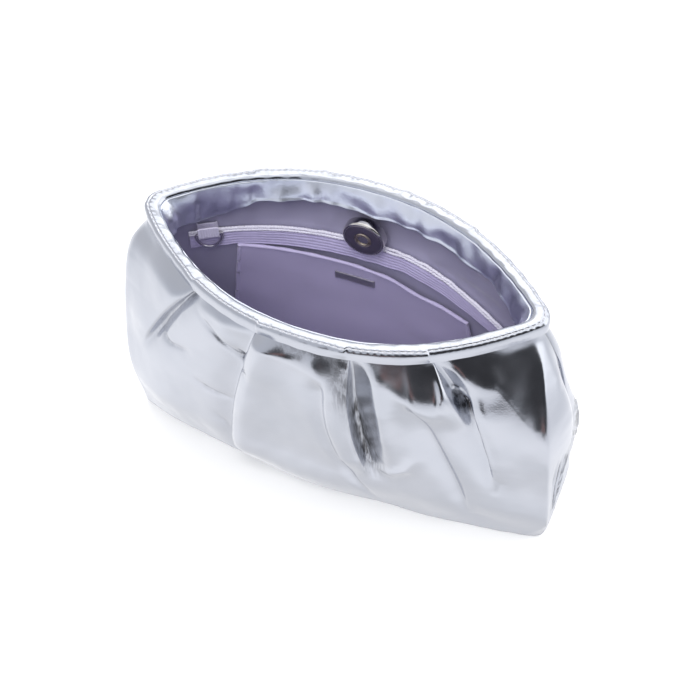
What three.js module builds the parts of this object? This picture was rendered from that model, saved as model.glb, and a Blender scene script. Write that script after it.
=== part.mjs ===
// Evening clutch of silver metallic leather, standing open on its base.
// Millimetres, +Z up. The front faces -Y, and the origin is the centre of the base on the floor.
import * as THREE from 'three';

const { clamp, lerp, smoothstep } = THREE.MathUtils;

// Outline of the leather
const HEIGHT = 140;
const BASE_LENGTH = 213;
const MOUTH_LENGTH = 172;
const MOUTH_FRONT = 43;
const MOUTH_BACK = 42;
const MOUTH_SHIFT = -6;
const BASE_FRONT = 35;
const BASE_BACK = 33;

// Leather, gathers and clearances
const LEATHER = 1.3;
const PUFF = 6;
const PLEAT = 7;
const HOLLOW = 3;
const GAP = 0.3;
const SEAM_GAP = 0.3;
const BASE_THICKNESS = 2;
const FOOT_ROLL = 1.6;
const SEAM_CALM = 14;
const GUSSET_FOOT = 25;
const GUSSET_HEIGHT = 118;
const GUSSET_TIP = 2;
const GUSSET_FOLD = 5;

// Rim, facing and lining
const BAND_THICKNESS = 6.4;
const BAND_HEIGHT = 6;
const BAND_STEP = 0.7;
const FACING_DEPTH = 12;
const FACING_THICKNESS = 1.2;
const LINING_THICKNESS = 1;
const LINING_INSET_TOP = 2.6;
const LINING_INSET = 6;

// Things on the lining's back wall
const RIBBON_HEIGHT = 8;
const RIBBON_THICKNESS = 1;
const RIBBON_LEVEL = 106;
const RIBBON_DROP = 12;
const CORD_DIAMETER = 1.2;
const POCKET_THICKNESS = 1;
const POCKET_SAG = 3;
const POCKET_DROP = 10;
const POCKET_FOOT = 32;
const POCKET_TOP = 95;
const PLATE_LENGTH = 22;
const PLATE_HEIGHT = 5;
const PLATE_THICKNESS = 1;
const PLATE_LEVEL = 86;
const PLATE_SHARE = -0.07;
const SNAP_DIAMETER = 20;
const SNAP_THICKNESS = 6;
const SNAP_HOLE = 5;
const SNAP_LEVEL = 116;
const POST_DIAMETER = 14;
const POST_THICKNESS = 3;
const RING_WIDTH = 15;
const RING_DROP = 9.5;
const RING_WIRE = 1.4;
const RING_LEVEL = 107;
const TAB_WIDTH = 10;
const TAB_HEIGHT = 6;
const TAB_THICKNESS = 1;

// Pleats run down from the rim. rim, middle and foot are shares of the half panel's length, at
// the rim, half way down and at the base. start and end are shares of the height between which
// the pleat lives. rise and sink are shares of PLEAT and HOLLOW beside the pleat's edge, wide is
// the hollow's width as a share of the half panel, and over is the side that stands over.
const FRONT_PLEATS = [
  { rim: -0.5, middle: -0.7, foot: -0.72, start: 1, end: 0.5, rise: 0.3, sink: 0.9, wide: 0.06, over: -1 },
  { rim: -0.16, middle: -0.275, foot: -0.34, start: 1, end: 0, rise: 0.6, sink: 0.8, wide: 0.09, over: 1 },
  { rim: 0.2, middle: 0.165, foot: 0.27, start: 1, end: 0.26, rise: 0.6, sink: 1.7, wide: 0.11, over: -1 },
  { rim: 0.51, middle: 0.62, foot: 0.6, start: 1, end: 0.7, rise: 0.5, sink: 1.2, wide: 0.07, over: -1 },
];
const FRONT_CREASES = [
  { rim: 0.59, middle: 0.64, foot: 0.6, start: 0.86, end: 0.38, rise: 0.4, sink: 1, wide: 0.06, over: 1 },
  { rim: 0.14, middle: 0.1, foot: 0.25, start: 0.9, end: 0.04, rise: 0.1, sink: 0.6, wide: 0.04, over: 1 },
  { rim: 0.38, middle: 0.5, foot: 0.57, start: 0.88, end: 0.1, rise: 0.1, sink: 0.6, wide: 0.05, over: 1 },
  { rim: -0.5, middle: 0.09, foot: 0.68, start: 0.95, end: 0.72, rise: 0.1, sink: 0.4, wide: 0.03, over: 1 },
];
const BACK_PLEATS = [
  { rim: -0.53, middle: -0.6, foot: -0.64, start: 1, end: 0.3, rise: 0.5, sink: 0.9, wide: 0.08, over: 1 },
  { rim: -0.22, middle: -0.2, foot: -0.27, start: 1, end: 0.1, rise: 0.5, sink: 0.9, wide: 0.09, over: -1 },
  { rim: 0.12, middle: 0.19, foot: 0.2, start: 1, end: 0.45, rise: 0.5, sink: 1.1, wide: 0.1, over: 1 },
  { rim: 0.48, middle: 0.52, foot: 0.6, start: 1, end: 0.05, rise: 0.6, sink: 0.9, wide: 0.09, over: -1 },
];
const BACK_CREASES = [
  { rim: -0.36, middle: -0.4, foot: -0.5, start: 0.85, end: 0.15, rise: 0.1, sink: 0.6, wide: 0.05, over: 1 },
  { rim: 0.3, middle: 0.34, foot: 0.42, start: 0.88, end: 0.2, rise: 0.1, sink: 0.6, wide: 0.05, over: -1 },
];

// Soft swellings of the leather. share and level place the centre as shares of the half panel
// and the height, wide and tall are its half sizes in the same shares, and rise is of PUFF.
const FRONT_SWELLS = [
  { share: -0.06, level: 0.1, wide: 0.2, tall: 0.14, rise: 0.7 },
  { share: -0.02, level: 0.55, wide: 0.14, tall: 0.35, rise: 0.4 },
  { share: 0.4, level: 0.45, wide: 0.1, tall: 0.3, rise: 0.3 },
  { share: -0.55, level: 0.35, wide: 0.2, tall: 0.3, rise: 0.2 },
  { share: -0.54, level: 0.655, wide: 0.08, tall: 0.03, rise: -0.2 },
  { share: -0.38, level: 0.48, wide: 0.09, tall: 0.03, rise: -0.2 },
];
const BACK_SWELLS = [
  { share: 0, level: 0.4, wide: 0.2, tall: 0.35, rise: 0.3 },
  { share: -0.45, level: 0.35, wide: 0.2, tall: 0.25, rise: 0.3 },
  { share: 0.5, level: 0.35, wide: 0.25, tall: 0.25, rise: 0.3 },
];

const FRONT = -1;
const BACK = 1;
const PANEL_TOP = HEIGHT - BAND_HEIGHT - GAP;
const SECTION_STEPS = 56;
const BOW_POWER = 2.25;
const CORNER_POWER = 24;
const MOUTH_BOW = 0.93;
const PLEATS = { [FRONT]: FRONT_PLEATS, [BACK]: BACK_PLEATS };
const CREASES = { [FRONT]: FRONT_CREASES, [BACK]: BACK_CREASES };
const SWELLS = { [FRONT]: FRONT_SWELLS, [BACK]: BACK_SWELLS };

// The plain form that the leather follows, as a half section of the front or back at a height.
// bow is how far the section curves back towards its end: little at the base, which is a bowed
// box, and all the way at the mouth, which is a lens.
function levelOf(side, z) {
  const up = clamp(z / HEIGHT, 0, 1);
  const swell = Math.pow(1 - Math.pow(clamp(up * 1.08, 0, 1), 2.2), 0.6);
  const half = lerp(MOUTH_LENGTH, BASE_LENGTH, swell) / 2;
  const rise = Math.pow(up, 0.8);
  if (side === FRONT) {
    const bow = lerp(0.3, MOUTH_BOW, Math.pow(up, 2.2));
    return { half, bulge: lerp(BASE_FRONT, MOUTH_FRONT, rise), bow };
  }
  const bow = lerp(0.4, MOUTH_BOW, smoothstep(up, 0.1, 0.75));
  return { half, bulge: lerp(BASE_BACK, MOUTH_BACK, rise), bow };
}

// Points along a half section from its middle to its end, with the length run up to each
function halfSection(side, z, out) {
  const level = levelOf(side, z);
  const tip = 1 + 0.3 * Math.pow(clamp(z / HEIGHT, 0, 1), 6);
  const points = [];
  let length = 0;
  for (let i = 0; i <= SECTION_STEPS; i++) {
    const q = 1 - Math.pow(1 - i / SECTION_STEPS, 4);
    const x = (level.half + tip * out) * q;
    const corner = Math.cbrt(1 - Math.pow(q, CORNER_POWER));
    const y = (level.bulge + out) * (1 - level.bow * Math.pow(q, BOW_POWER)) * corner;
    if (i > 0) length += Math.hypot(x - points[i - 1].x, y - points[i - 1].y);
    points.push({ x, y, length });
  }
  return points;
}

const halfLengths = new Map();
function halfLength(side, z) {
  const key = `${side} ${z}`;
  if (!halfLengths.has(key)) halfLengths.set(key, halfSection(side, z, 0)[SECTION_STEPS].length);
  return halfLengths.get(key);
}

// The point of the front or back at a share of its half length, a height, and out from the form
function wallPoint(side, share, z, out) {
  const points = halfSection(side, z, out);
  const wanted = Math.min(Math.abs(share), 1) * points[SECTION_STEPS].length;
  let i = 1;
  while (i < SECTION_STEPS && points[i].length < wanted) i++;
  const [a, b] = [points[i - 1], points[i]];
  const t = (wanted - a.length) / (b.length - a.length);
  const x = Math.sign(share) * lerp(a.x, b.x, t);
  return new THREE.Vector3(x, MOUTH_SHIFT * (z / HEIGHT) + side * lerp(a.y, b.y, t), z);
}

function pleatShare(pleat, up) {
  const bow = pleat.middle - (pleat.rim + pleat.foot) / 2;
  return lerp(pleat.foot, pleat.rim, up) + bow * 4 * up * (1 - up);
}

// How far the leather stands in or out beside one pleat
function pleatRelief(pleat, share, up) {
  const toEnd = smoothstep(up, pleat.end - 0.02, pleat.end + 0.18);
  const toStart = pleat.start < 1 ? 1 - smoothstep(up, pleat.start - 0.1, pleat.start) : 1;
  const strength = toEnd * toStart;
  if (strength === 0) return 0;
  const d = (share - pleatShare(pleat, up)) * pleat.over;
  const step = smoothstep(d, -0.022, 0.012);
  const wide = pleat.wide * lerp(0.45, 1, clamp((up - pleat.end) / (1 - pleat.end), 0, 1));
  const roll = pleat.rise * PLEAT * Math.exp(-Math.pow(d / 0.12, 2));
  const dip = pleat.sink * HOLLOW * Math.exp(-Math.pow((d + 0.02) / wide, 2));
  return strength * (roll * step - dip * (1 - step));
}

// The puffs hang between the pleats: pinched to the rim at each pleat, free lower down
function puff(side, share, up) {
  const lines = [-1.1, ...PLEATS[side].map((pleat) => pleatShare(pleat, up)), 1.1];
  let bay = 1;
  while (bay < lines.length - 1 && share > lines[bay]) bay++;
  const t = clamp((share - lines[bay - 1]) / (lines[bay] - lines[bay - 1]), 0, 1);
  const arch = Math.sqrt(4 * t * (1 - t));
  const pinched = 0.85 * Math.pow(up, 3);
  const drop = clamp((1 - up) / 0.16, 0, 1);
  const shoulder = Math.sqrt(1 - Math.pow(1 - drop, 2));
  const foot = lerp(0.2, 1, smoothstep(up, 0, 0.25));
  return PUFF * shoulder * foot * (0.35 + 0.3 * lerp(1, arch, pinched));
}

function swelling(swell, share, up) {
  const d = Math.hypot((share - swell.share) / swell.wide, (up - swell.level) / swell.tall);
  return PUFF * swell.rise * Math.exp(-d * d);
}

function seamInset(z) {
  return Math.max(GUSSET_TIP / 2, GUSSET_FOOT * Math.pow(clamp(1 - z / GUSSET_HEIGHT, 0, 1), 2));
}

// Rounds the leather under at the base
function footRoll(z) {
  const t = clamp(1 - z / FOOT_ROLL, 0, 1);
  return FOOT_ROLL * (1 - Math.sqrt(1 - 0.8 * t * t));
}

// How far the outer face of the leather stands out from the plain form
function relief(side, share, z) {
  const up = z / PANEL_TOP;
  const toSeam = (1 - Math.abs(share)) * halfLength(side, z) - seamInset(z);
  const calm = smoothstep(toSeam, 0, SEAM_CALM);
  const shapes = [...PLEATS[side], ...CREASES[side]].map((pleat) => pleatRelief(pleat, share, up));
  const swells = SWELLS[side].map((swell) => swelling(swell, share, up));
  const free = puff(side, share, up) + [...shapes, ...swells].reduce((sum, value) => sum + value, 0);
  const floor = -HOLLOW * clamp((1 - up) / 0.2, 0, 1);
  const eased = floor + 0.5 * (free - floor + Math.hypot(free - floor, 1));
  const nearRim = smoothstep(1 - up, 0, 0.03);
  return calm * nearRim * eased - footRoll(z);
}

// The leather's inner face keeps its thickness where the outer face is steep
function innerRelief(side, share, z, out) {
  const dz = z > 1 ? -1 : 1;
  const ds = 1 / halfLength(side, z);
  const across = relief(side, share + (share > 0 ? -ds : ds), z) - out;
  const along = relief(side, share, z + dz) - out;
  return out - LEATHER * Math.min(1.5, Math.hypot(1, across, along));
}

class Surface {
  constructor() {
    this.points = [];
    this.faces = [];
  }

  add(point) {
    this.points.push(point);
    return this.points.length - 1;
  }

  quad(a, b, c, d) {
    if (a !== b && b !== c && a !== c) this.faces.push([a, b, c]);
    if (a !== c && c !== d && a !== d) this.faces.push([a, c, d]);
  }

  volume() {
    return this.faces.reduce((sum, [a, b, c]) => {
      const cross = new THREE.Vector3().crossVectors(this.points[b], this.points[c]);
      return sum + this.points[a].dot(cross) / 6;
    }, 0);
  }

  geometry() {
    const turn = this.volume() < 0;
    const index = this.faces.flatMap(([a, b, c]) => (turn ? [a, c, b] : [a, b, c]));
    const geometry = new THREE.BufferGeometry().setFromPoints(this.points);
    geometry.setIndex(index);
    geometry.computeVertexNormals();
    return geometry;
  }
}

// A closed thin sheet between two grids of points with the same rows and columns
function sheetBetween(outer, inner) {
  const surface = new Surface();
  const [a, b] = [outer, inner].map((grid) => grid.map((row) => row.map((point) => surface.add(point))));
  const rows = a.length - 1;
  const columns = a[0].length - 1;
  for (let r = 0; r < rows; r++) {
    for (let c = 0; c < columns; c++) {
      surface.quad(a[r][c], a[r][c + 1], a[r + 1][c + 1], a[r + 1][c]);
      surface.quad(b[r][c], b[r + 1][c], b[r + 1][c + 1], b[r][c + 1]);
    }
    surface.quad(a[r][0], a[r + 1][0], b[r + 1][0], b[r][0]);
    surface.quad(a[r][columns], b[r][columns], b[r + 1][columns], a[r + 1][columns]);
  }
  for (let c = 0; c < columns; c++) {
    surface.quad(a[0][c], b[0][c], b[0][c + 1], a[0][c + 1]);
    surface.quad(a[rows][c], a[rows][c + 1], b[rows][c + 1], b[rows][c]);
  }
  return surface.geometry();
}

// A closed ring through sections that each have the same number of points
function ringThrough(sections) {
  const surface = new Surface();
  const loops = sections.map((section) => section.map((point) => surface.add(point)));
  loops.forEach((loop, i) => {
    const next = loops[(i + 1) % loops.length];
    loop.forEach((a, j) => {
      const k = (j + 1) % loop.length;
      surface.quad(a, next[j], next[k], loop[k]);
    });
  });
  return surface.geometry();
}

// A closed rod through sections, with flat ends
function rodThrough(sections) {
  const surface = new Surface();
  const loops = sections.map((section) => section.map((point) => surface.add(point)));
  for (let i = 0; i + 1 < loops.length; i++) {
    loops[i].forEach((a, j) => {
      const k = (j + 1) % loops[i].length;
      surface.quad(a, loops[i + 1][j], loops[i + 1][k], loops[i][k]);
    });
  }
  const [first, last] = [loops[0], loops[loops.length - 1]];
  for (let j = 1; j + 1 < first.length; j++) {
    surface.faces.push([first[0], first[j], first[j + 1]], [last[0], last[j + 1], last[j]]);
  }
  return surface.geometry();
}

const steps = (count, from = 0, to = 1) =>
  Array.from({ length: count + 1 }, (unused, i) => lerp(from, to, i / count));

// Rows crowd towards the rim, where the puffs turn over
const panelRows = (count) => steps(count).map((t) => PANEL_TOP * (1 - Math.pow(1 - t, 1.35)));

// Columns follow the pleats, so that each pleat's edge lies on a line of the mesh
function panelColumns(side, z, bays) {
  const up = z / PANEL_TOP;
  const end = 1 - (seamInset(z) + SEAM_GAP / 2) / halfLength(side, z);
  const lines = [-end, ...PLEATS[side].map((pleat) => pleatShare(pleat, up)), end];
  const columns = [lines[0]];
  for (let bay = 1; bay < lines.length; bay++) {
    steps(bays[bay - 1]).slice(1).forEach((t) => {
      const eased = bay === 1 || bay === lines.length - 1 ? t : lerp(t, t * t * (3 - 2 * t), -0.35);
      columns.push(lerp(lines[bay - 1], lines[bay], eased));
    });
  }
  return columns;
}

function panel(side, rowCount, bays) {
  const rows = panelRows(rowCount);
  const outer = rows.map((z) =>
    panelColumns(side, z, bays).map((share) => wallPoint(side, share, z, relief(side, share, z))));
  const inner = rows.map((z) =>
    panelColumns(side, z, bays).map((share) => {
      const out = innerRelief(side, share, z, relief(side, share, z));
      return wallPoint(side, share, z, out);
    }));
  return sheetBetween(outer, inner);
}

// A gusset runs from the front's seam round the end to the back's seam, folded in along its middle
function gusset(end) {
  const rows = steps(13, 0, GUSSET_HEIGHT - GAP);
  const across = steps(8, -1, 1);
  const fold = (z, t) => {
    const deep = Math.sin(Math.PI * clamp(z / GUSSET_HEIGHT, 0, 1));
    return GUSSET_FOLD * deep * Math.pow(1 - t * t, 2);
  };
  const grid = (depth) => rows.map((z) => across.map((t) => {
    const side = t < 0 ? FRONT : BACK;
    const width = seamInset(z) - SEAM_GAP / 2;
    const share = end * (1 - (Math.abs(t) * width) / halfLength(side, z));
    return wallPoint(side, share, z, -footRoll(z) - fold(z, t) - depth);
  }));
  return sheetBetween(grid(0), grid(LEATHER));
}

// Stations round the mouth: the front from left to right, then the back from right to left
function stations(count) {
  const front = steps(count, -1, 1).slice(0, -1).map((share) => ({ side: FRONT, share }));
  const back = steps(count, 1, -1).slice(0, -1).map((share) => ({ side: BACK, share }));
  return [...front, ...back];
}

// The padded edge, with a small step where each pleat passes under it
function rimBand() {
  const width = BAND_THICKNESS / 2;
  const profile = [
    [-1.0, 0], [-1.0, 0.55], [-0.7, 0.9], [-0.15, 1.0], [0.35, 0.97], [0.85, 0.75], [1.0, 0.4], [0.9, 0],
  ];
  const middle = width * 0.9 - LEATHER - LINING_INSET_TOP;
  const sections = stations(34).map(({ side, share }) => {
    const pressed = PLEATS[side].reduce((sum, pleat) => {
      const d = (share - pleat.rim) * pleat.over;
      return sum + Math.exp(-Math.pow(d / 0.05, 2)) * (d > 0 ? 1 : 0.2);
    }, 0);
    return profile.map(([across, up]) => {
      const out = across * width + middle + (across > 0 ? BAND_STEP * pressed * up : 0);
      const base = wallPoint(side, share, HEIGHT, out);
      base.z = HEIGHT - BAND_HEIGHT + up * BAND_HEIGHT;
      return base;
    });
  });
  return ringThrough(sections);
}

// The lining leaves room for the pleats' hollows below the rim, and for the gussets' folds
function liningInset(z) {
  const deep = 1 - smoothstep(z / HEIGHT, 0.66, 0.86);
  return lerp(LINING_INSET_TOP, LINING_INSET, deep);
}

function liningPoint(side, share, z, inward) {
  const point = wallPoint(side, share, z, -liningInset(z) - inward);
  const deep = Math.sin(Math.PI * clamp(z / GUSSET_HEIGHT, 0, 1));
  const most = levelOf(side, z).half - liningInset(z) - inward - GUSSET_FOLD * deep;
  point.x = clamp(point.x, -most, most);
  return point;
}

const FACING_FOOT = PANEL_TOP - FACING_DEPTH;
const LINING_TOP = FACING_FOOT - GAP;
const LINING_FLOOR = BASE_THICKNESS + GAP;

function facing() {
  const sections = stations(28).map(({ side, share }) => {
    const heights = [FACING_FOOT, PANEL_TOP];
    const inside = heights.map((z) => wallPoint(side, share, z, -liningInset(z) - FACING_THICKNESS));
    const outside = heights.map((z) => wallPoint(side, share, z, -liningInset(z)));
    return [inside[0], inside[1], outside[1], outside[0]];
  });
  return ringThrough(sections);
}

// An open bag: outer wall, inner wall, the edge between them, and a floor with two faces
function lining() {
  const surface = new Surface();
  const around = stations(20);
  const loop = (z, inward) => around.map(({ side, share }) =>
    surface.add(liningPoint(side, share, z, inward)));
  const outer = steps(10, LINING_FLOOR, LINING_TOP).map((z) => loop(z, 0));
  const floor = LINING_FLOOR + LINING_THICKNESS;
  const inner = steps(10, floor, LINING_TOP).map((z) => loop(z, LINING_THICKNESS));
  const count = around.length;
  for (let i = 0; i < count; i++) {
    const k = (i + 1) % count;
    for (let r = 0; r < 10; r++) {
      surface.quad(outer[r][i], outer[r][k], outer[r + 1][k], outer[r + 1][i]);
      surface.quad(inner[r][i], inner[r + 1][i], inner[r + 1][k], inner[r][k]);
    }
    surface.quad(outer[10][i], outer[10][k], inner[10][k], inner[10][i]);
  }
  for (let i = 0; i < count / 2; i++) {
    const [back, next] = [(count - i) % count, count - i - 1];
    surface.quad(outer[0][i], outer[0][back], outer[0][next], outer[0][i + 1]);
    surface.quad(inner[0][i], inner[0][i + 1], inner[0][next], inner[0][back]);
  }
  return surface.geometry();
}

// A flat leather base inside the foot of the panels
function basePanel() {
  const outline = stations(24).map(({ side, share }) => {
    const inGusset = (1 - Math.abs(share)) * halfLength(side, 0) < seamInset(0);
    const out = relief(side, share, 0);
    const inner = inGusset ? -footRoll(0) - LEATHER : innerRelief(side, share, 0, out);
    return wallPoint(side, share, 0, inner - 2 * GAP);
  });
  const shape = new THREE.Shape(outline.map(({ x, y }) => new THREE.Vector2(x, y)));
  return new THREE.ExtrudeGeometry(shape, { depth: BASE_THICKNESS, bevelEnabled: false });
}

// A point on the back wall of the lining, inward from its inner face
const onBack = (share, z, inward) => liningPoint(BACK, share, z, LINING_THICKNESS + inward);

// The patch pocket: its top edge sags open in the middle, and its lower edge is straight
const POCKET_LEFT = -0.62;
const POCKET_RIGHT = 0.48;

function pocketOpen(share, level) {
  const t = (share - POCKET_LEFT) / (POCKET_RIGHT - POCKET_LEFT);
  return POCKET_SAG * Math.sin(Math.PI * clamp(t, 0, 1)) * Math.pow(level, 3);
}

function pocketTop(share) {
  const t = (share - POCKET_LEFT) / (POCKET_RIGHT - POCKET_LEFT);
  const sag = POCKET_SAG * Math.sin(Math.PI * clamp(t, 0, 1));
  return POCKET_TOP - sag - POCKET_DROP * smoothstep(t, 0.55, 1);
}

function slipPocket() {
  const grid = (inward) => steps(7).map((level) =>
    steps(12, POCKET_LEFT, POCKET_RIGHT).map((share) => {
      const z = lerp(POCKET_FOOT, pocketTop(share), level);
      return onBack(share, z, GAP + inward + pocketOpen(share, level));
    }));
  return sheetBetween(grid(POCKET_THICKNESS), grid(0));
}

// The ribbon along the back wall, from beside the ring to the right end of the mouth
const RIBBON_LEFT = -0.85;
const RIBBON_RIGHT = 0.88;
const ribbonTop = (share) => RIBBON_LEVEL - RIBBON_DROP * smoothstep(share, 0.1, 0.9);

function pocketRibbon() {
  const grid = (inward) => [1, 0.5, 0].map((down) =>
    steps(24, RIBBON_LEFT, RIBBON_RIGHT).map((share) =>
      onBack(share, ribbonTop(share) - RIBBON_HEIGHT * down, GAP + inward)));
  return sheetBetween(grid(RIBBON_THICKNESS), grid(0));
}

function ribbonCord(rows) {
  const radius = CORD_DIAMETER / 2;
  const above = GAP + radius + rows * (CORD_DIAMETER + GAP);
  const sections = steps(26, RIBBON_LEFT, RIBBON_RIGHT).map((share) =>
    steps(5).slice(0, -1).map((turn) => {
      const angle = 2 * Math.PI * turn;
      const inward = GAP + radius * (1 + Math.cos(angle));
      return onBack(share, ribbonTop(share) + above + radius * Math.sin(angle), inward);
    }));
  return rodThrough(sections);
}

// Seats a turned piece on the wall: its axis is along +Y, or along -Y when turned
function seated(mesh, foot, turned) {
  mesh.rotation.x = turned ? Math.PI : 0;
  mesh.position.copy(foot);
  return mesh;
}

const SNAP_SHARE = -0.02;

function latheOf(profile) {
  const points = profile.map(([radius, height]) => new THREE.Vector2(radius, height));
  return new THREE.LatheGeometry(points, 18);
}

function snapSocket() {
  const [radius, hole] = [SNAP_DIAMETER / 2, SNAP_HOLE / 2];
  const geometry = latheOf([
    [0, 0], [radius * 0.8, 0], [radius * 0.8, 0.8], [radius - 0.3, 1.0], [radius, 1.5],
    [radius, SNAP_THICKNESS - 0.8], [radius - 0.8, SNAP_THICKNESS], [hole + 1, SNAP_THICKNESS],
    [hole + 0.6, SNAP_THICKNESS + 0.4], [hole, SNAP_THICKNESS], [hole * 0.8, 2], [0, 2],
  ]);
  const seat = onBack(SNAP_SHARE, SNAP_LEVEL, 0);
  const mesh = named('snap_socket', geometry, METAL);
  const reach = radius / halfLength(BACK, SNAP_LEVEL);
  const cords = ribbonTop(SNAP_SHARE) + 2 * (CORD_DIAMETER + GAP);
  const behind = [
    { z: cords, inward: GAP + CORD_DIAMETER },
    { z: SNAP_LEVEL, inward: 0 },
    { z: SNAP_LEVEL + radius, inward: FACING_THICKNESS - LINING_THICKNESS },
  ];
  behind.forEach(({ z, inward }) => [-reach, reach].forEach((d) => {
    seat.y = Math.min(seat.y, onBack(SNAP_SHARE + d * 0.6, z, inward).y);
  }));
  seat.y -= GAP;
  return seated(mesh, seat, true);
}

function snapPost() {
  const radius = POST_DIAMETER / 2;
  const shoulder = POST_THICKNESS - 1;
  const geometry = latheOf([
    [0, 0], [radius, 0], [radius, 1], [radius - 1, shoulder], [SNAP_HOLE * 0.4, shoulder],
    [SNAP_HOLE * 0.35, POST_THICKNESS], [0, POST_THICKNESS],
  ]);
  const inward = LINING_THICKNESS;
  const heights = [SNAP_LEVEL - radius, SNAP_LEVEL, SNAP_LEVEL + radius];
  const seat = liningPoint(FRONT, SNAP_SHARE, SNAP_LEVEL, inward);
  seat.y = Math.max(...heights.map((z) => liningPoint(FRONT, SNAP_SHARE, z, inward).y)) + 2 * GAP;
  return seated(named('snap_post', geometry, METAL), seat, false);
}

function blankPlate() {
  const half = PLATE_LENGTH / 2 / halfLength(BACK, PLATE_LEVEL);
  const grid = (inward) => [-0.5, 0.5].map((up) =>
    steps(2, PLATE_SHARE - half, PLATE_SHARE + half).map((share) => {
      const z = PLATE_LEVEL + up * PLATE_HEIGHT;
      const level = (z - POCKET_FOOT) / (pocketTop(share) - POCKET_FOOT);
      return onBack(share, z, GAP + POCKET_THICKNESS + pocketOpen(share, level) + GAP + inward);
    }));
  return named('blank_plate', sheetBetween(grid(PLATE_THICKNESS), grid(0)), METAL);
}

// The ring hangs in a loop of ribbon that goes round its straight side, in front of the cords
const RING_SHARE = -0.70;

function ringFrame() {
  const inward = 2 * GAP + CORD_DIAMETER;
  const [a, b] = [-0.05, 0.05].map((d) => onBack(RING_SHARE + d, RING_LEVEL, inward));
  const along = new THREE.Vector3().subVectors(b, a).setZ(0).normalize();
  const inwards = new THREE.Vector3(along.y, -along.x, 0);
  const middle = new THREE.Vector3().addVectors(a, b).multiplyScalar(0.5);
  return { along, inwards, middle };
}

function dRing() {
  const { along, inwards, middle } = ringFrame();
  const radius = RING_WIRE / 2;
  const reach = TAB_THICKNESS + GAP + radius;
  const centre = middle.clone().addScaledVector(inwards, reach);
  const half = RING_WIDTH / 2 - radius;
  const bow = steps(10, 0, Math.PI).map((angle) => [half * Math.cos(angle), -RING_DROP * Math.sin(angle)]);
  const bar = [[-half * 0.5, 0], [0, 0], [half * 0.5, 0]];
  const path = [...bow, ...bar];
  const sections = path.map(([x, z], i) => {
    const before = path[(i + path.length - 1) % path.length];
    const after = path[(i + 1) % path.length];
    const run = new THREE.Vector2(after[0] - before[0], after[1] - before[1]).normalize();
    return steps(6).slice(0, -1).map((turn) => {
      const angle = 2 * Math.PI * turn;
      const side = radius * Math.cos(angle);
      const point = centre.clone().addScaledVector(along, x + run.y * side);
      point.z += z - run.x * side;
      return point.addScaledVector(inwards, radius * Math.sin(angle));
    });
  });
  return named('d_ring', ringThrough(sections), METAL);
}

// The tab is a strip folded under the ring's straight side, with both ends up against the wall
function ringTab() {
  const { along, inwards, middle } = ringFrame();
  const hole = RING_WIRE / 2 + GAP;
  const reach = TAB_THICKNESS + GAP + RING_WIRE / 2;
  const round = (radius, from, to) => steps(5, from, to).map((angle) =>
    [reach + radius * Math.cos(angle), -radius * Math.sin(angle)]);
  const outer = round(hole + TAB_THICKNESS, 0, Math.PI);
  const inner = round(hole, Math.PI, 0);
  const outline = [[reach + hole + TAB_THICKNESS, TAB_HEIGHT], ...outer,
    [reach - hole - TAB_THICKNESS, TAB_HEIGHT], [reach - hole, TAB_HEIGHT], ...inner,
    [reach + hole, TAB_HEIGHT]];
  const shape = new THREE.Shape(outline.map(([x, y]) => new THREE.Vector2(x, y)));
  const geometry = new THREE.ExtrudeGeometry(shape, { depth: TAB_WIDTH, bevelEnabled: false });
  const up = new THREE.Vector3(0, 0, 1);
  const start = middle.clone().addScaledVector(along, TAB_WIDTH / 2);
  const frame = new THREE.Matrix4().makeBasis(inwards, up, along.clone().negate()).setPosition(start);
  geometry.applyMatrix4(frame);
  return named('ring_tab', geometry, RIBBON);
}

// Materials
const LEATHER_SILVER = { color: 0xdcdee6, roughness: 0.18, metalness: 0.9 };
const SATIN = { color: 0x857ba5, roughness: 0.5, metalness: 0 };
const RIBBON = { color: 0x9a8fbd, roughness: 0.6, metalness: 0 };
const CORD = { color: 0xd9d2ea, roughness: 0.5, metalness: 0 };
const METAL = { color: 0x9c98a2, roughness: 0.25, metalness: 1 };

function named(name, geometry, look) {
  const mesh = new THREE.Mesh(geometry, new THREE.MeshStandardMaterial(look));
  mesh.name = name;
  return mesh;
}

const group = new THREE.Group();
group.add(
  named('front_panel', panel(FRONT, 19, [8, 7, 8, 7, 7]), LEATHER_SILVER),
  named('back_panel', panel(BACK, 15, [7, 6, 6, 6, 7]), LEATHER_SILVER),
  named('left_gusset', gusset(-1), LEATHER_SILVER),
  named('right_gusset', gusset(1), LEATHER_SILVER),
  named('base_panel', basePanel(), LEATHER_SILVER),
  named('rim_band', rimBand(), LEATHER_SILVER),
  named('facing', facing(), LEATHER_SILVER),
  named('lining', lining(), SATIN),
  named('slip_pocket', slipPocket(), SATIN),
  named('pocket_ribbon', pocketRibbon(), RIBBON),
  named('ribbon_cord_lower', ribbonCord(0), CORD),
  named('ribbon_cord_upper', ribbonCord(1), CORD),
  snapSocket(),
  snapPost(),
  ringTab(),
  dRing(),
  blankPlate(),
);

export default group;
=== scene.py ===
# %% [markdown]
# # A gathered evening clutch of silver leather
# The real clutch is a soft bag. Two walls of foil-bright leather are gathered into a padded
# edge round the mouth, and a lilac satin lining hangs inside. This lesson dresses the plain
# solids of that bag with fine meshes and finishes. It starts by loading the solids, because
# each piece that follows is placed by them, and by noting the box that they fill.

# %% Load the frame
import math

import bpy
import numpy as np
from mathutils import Matrix, Vector


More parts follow.
